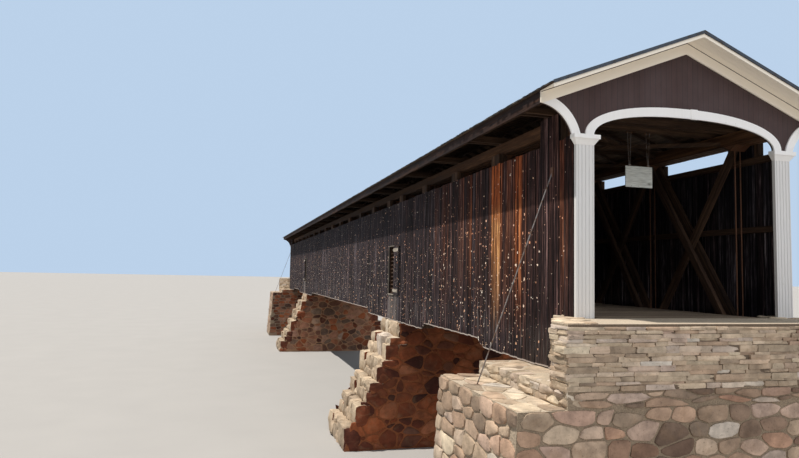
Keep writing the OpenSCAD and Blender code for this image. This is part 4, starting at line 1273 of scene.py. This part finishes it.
def wing_stones(end, word):
    """The dry walls that hold the road in front of a portal, and the flat stones along their top."""
    rng = random.Random(121 if end < 0 else 122)
    mesh = Mesh()
    tip_half = WALL_X + 0.005
    top = DECK_Z - 0.03
    for side in (-1, 1):
        run = [(side * x, end * y) for x, y in ((SEAT_HALF, BACK_Y), (SEAT_HALF, FLARE_Y), (tip_half, TIP_Y))]
        for a, b in zip(run, run[1:]):
            dry_wall(mesh, *((a, b) if side * end < 0 else (b, a)), SEAT_Z, top, rng)
    back = end * BACK_Y
    dry_wall(mesh, (end * SEAT_HALF, back), (-end * SEAT_HALF, back), SEAT_Z, top, rng, warm=0.2)

    def on_top(u, v):
        """The level top, except the middle of the road, which is packed gravel."""
        y = abs(v)
        edge = SEAT_HALF
        if y <= FLARE_Y:
            edge = tip_half + (SEAT_HALF - tip_half) * (y - TIP_Y) / (FLARE_Y - TIP_Y)
        if not TIP_Y < y < BACK_Y or abs(u) > edge or abs(u) < edge - 0.42:
            return None
        low, high = sorted((end * TIP_Y, end * BACK_Y))
        return [(1, 0, edge), (-1, 0, edge), (0, 1, high), (0, -1, -low)]

    road = trapezoid(TIP_Y, BACK_Y, SEAT_HALF, SEAT_HALF)
    rubble(mesh, (0, 0, DECK_Z), ACROSS, ALONG, mirrored(road, 1, end), rng, size=(0.2, 0.26), joint=0.025,
           height=0.016, warm=0.08, limits=on_top, wander=0.42)
    mesh.piece(word + "_wing_stones", stones, "rubble_masonry", smooth=SMOOTH)


for end, word in ENDS:
    wing_stones(end, word)


# Floor, light and camera

def stage_floor():
    """A plain gray floor under the bridge."""
    s = Shader("floor", 0.9, 0.2)
    cloud = s.noise(s.place(), 0.6, 3, 0.5)
    grit = s.noise(s.place(), 30, 3, 0.6)
    s.finish(s.mix(cloud, (0.36, 0.355, 0.35), (0.4, 0.395, 0.385)), grit, 0.15, 0.004)
    data = bpy.data.meshes.new("floor")
    data.from_pydata([(400 * a, 400 * b, 0) for a, b in SQUARE], [], [(0, 1, 2, 3)])
    data.materials.append(s.material)
    floor = bpy.data.objects.new("floor", data)
    bpy.context.scene.collection.objects.link(floor)


stage_floor()


def studio():
    """Pale blue behind the bridge, and softer, weaker light from all round for what isn't seen directly."""
    world = bpy.data.worlds.new("studio")
    bpy.context.scene.world = world
    world.use_nodes = True
    nodes, link = world.node_tree.nodes, world.node_tree.links.new
    sky, backdrop = nodes["Background"], nodes.new("ShaderNodeBackground")
    for background, color, strength in (
            (sky, (0.93, 0.96, 1.0, 1), 0.27), (backdrop, (0.5, 0.64, 0.82, 1), 1.0)):
        background.inputs["Color"].default_value = color
        background.inputs["Strength"].default_value = strength
    either, rays = nodes.new("ShaderNodeMixShader"), nodes.new("ShaderNodeLightPath")
    seen = rays.outputs["Is Camera Ray"]
    for kind in ("Is Glossy Ray", "Is Transmission Ray"):
        more = nodes.new("ShaderNodeMath")
        more.operation = "MAXIMUM"
        link(seen, more.inputs[0])
        link(rays.outputs[kind], more.inputs[1])
        seen = more.outputs[0]
    link(seen, either.inputs[0])
    link(sky.outputs[0], either.inputs[1])
    link(backdrop.outputs[0], either.inputs[2])
    link(either.outputs[0], nodes["World Output"].inputs["Surface"])


studio()


def sun(name, towards, strength, spread, color):
    """A sun lamp in the direction towards, with its spread in degrees."""
    lamp = bpy.data.lights.new(name, "SUN")
    lamp.energy, lamp.angle, lamp.color = strength, math.radians(spread), color
    holder = bpy.data.objects.new(name, lamp)
    holder.rotation_mode = "QUATERNION"
    holder.rotation_quaternion = Vector(towards).to_track_quat("Z", "Y")
    bpy.context.scene.collection.objects.link(holder)


sun("key", (-0.393, 0.1, 0.919), 4.5, 0.9, (1.0, 0.93, 0.84))
sun("fill", (0.08, -0.8, 0.5), 1.22, 50, (0.98, 0.98, 1.0))

# The photo's own camera
EYE = (-5.502, -23.9125, 3.98335)
YAW, PITCH_UP, ROLL = 0.2662, 0.0704, 0.02
ahead = Vector((math.sin(YAW) * math.cos(PITCH_UP), math.cos(YAW) * math.cos(PITCH_UP), math.sin(PITCH_UP)))
level = Vector((math.cos(YAW), -math.sin(YAW), 0))
upward = level.cross(ahead)
right = level * math.cos(ROLL) + upward * math.sin(ROLL)
top = upward * math.cos(ROLL) - level * math.sin(ROLL)
lens = bpy.data.cameras.new("camera")
lens.sensor_width, lens.lens = 36.0, 28.255
lens.clip_start, lens.clip_end = 0.1, 900
camera = bpy.data.objects.new("camera", lens)
camera.matrix_world = Matrix.Translation(EYE) @ Matrix((right, top, -ahead)).transposed().to_4x4()
bpy.context.scene.collection.objects.link(camera)
bpy.context.scene.camera = camera
bpy.context.scene.view_settings.view_transform = "Standard"
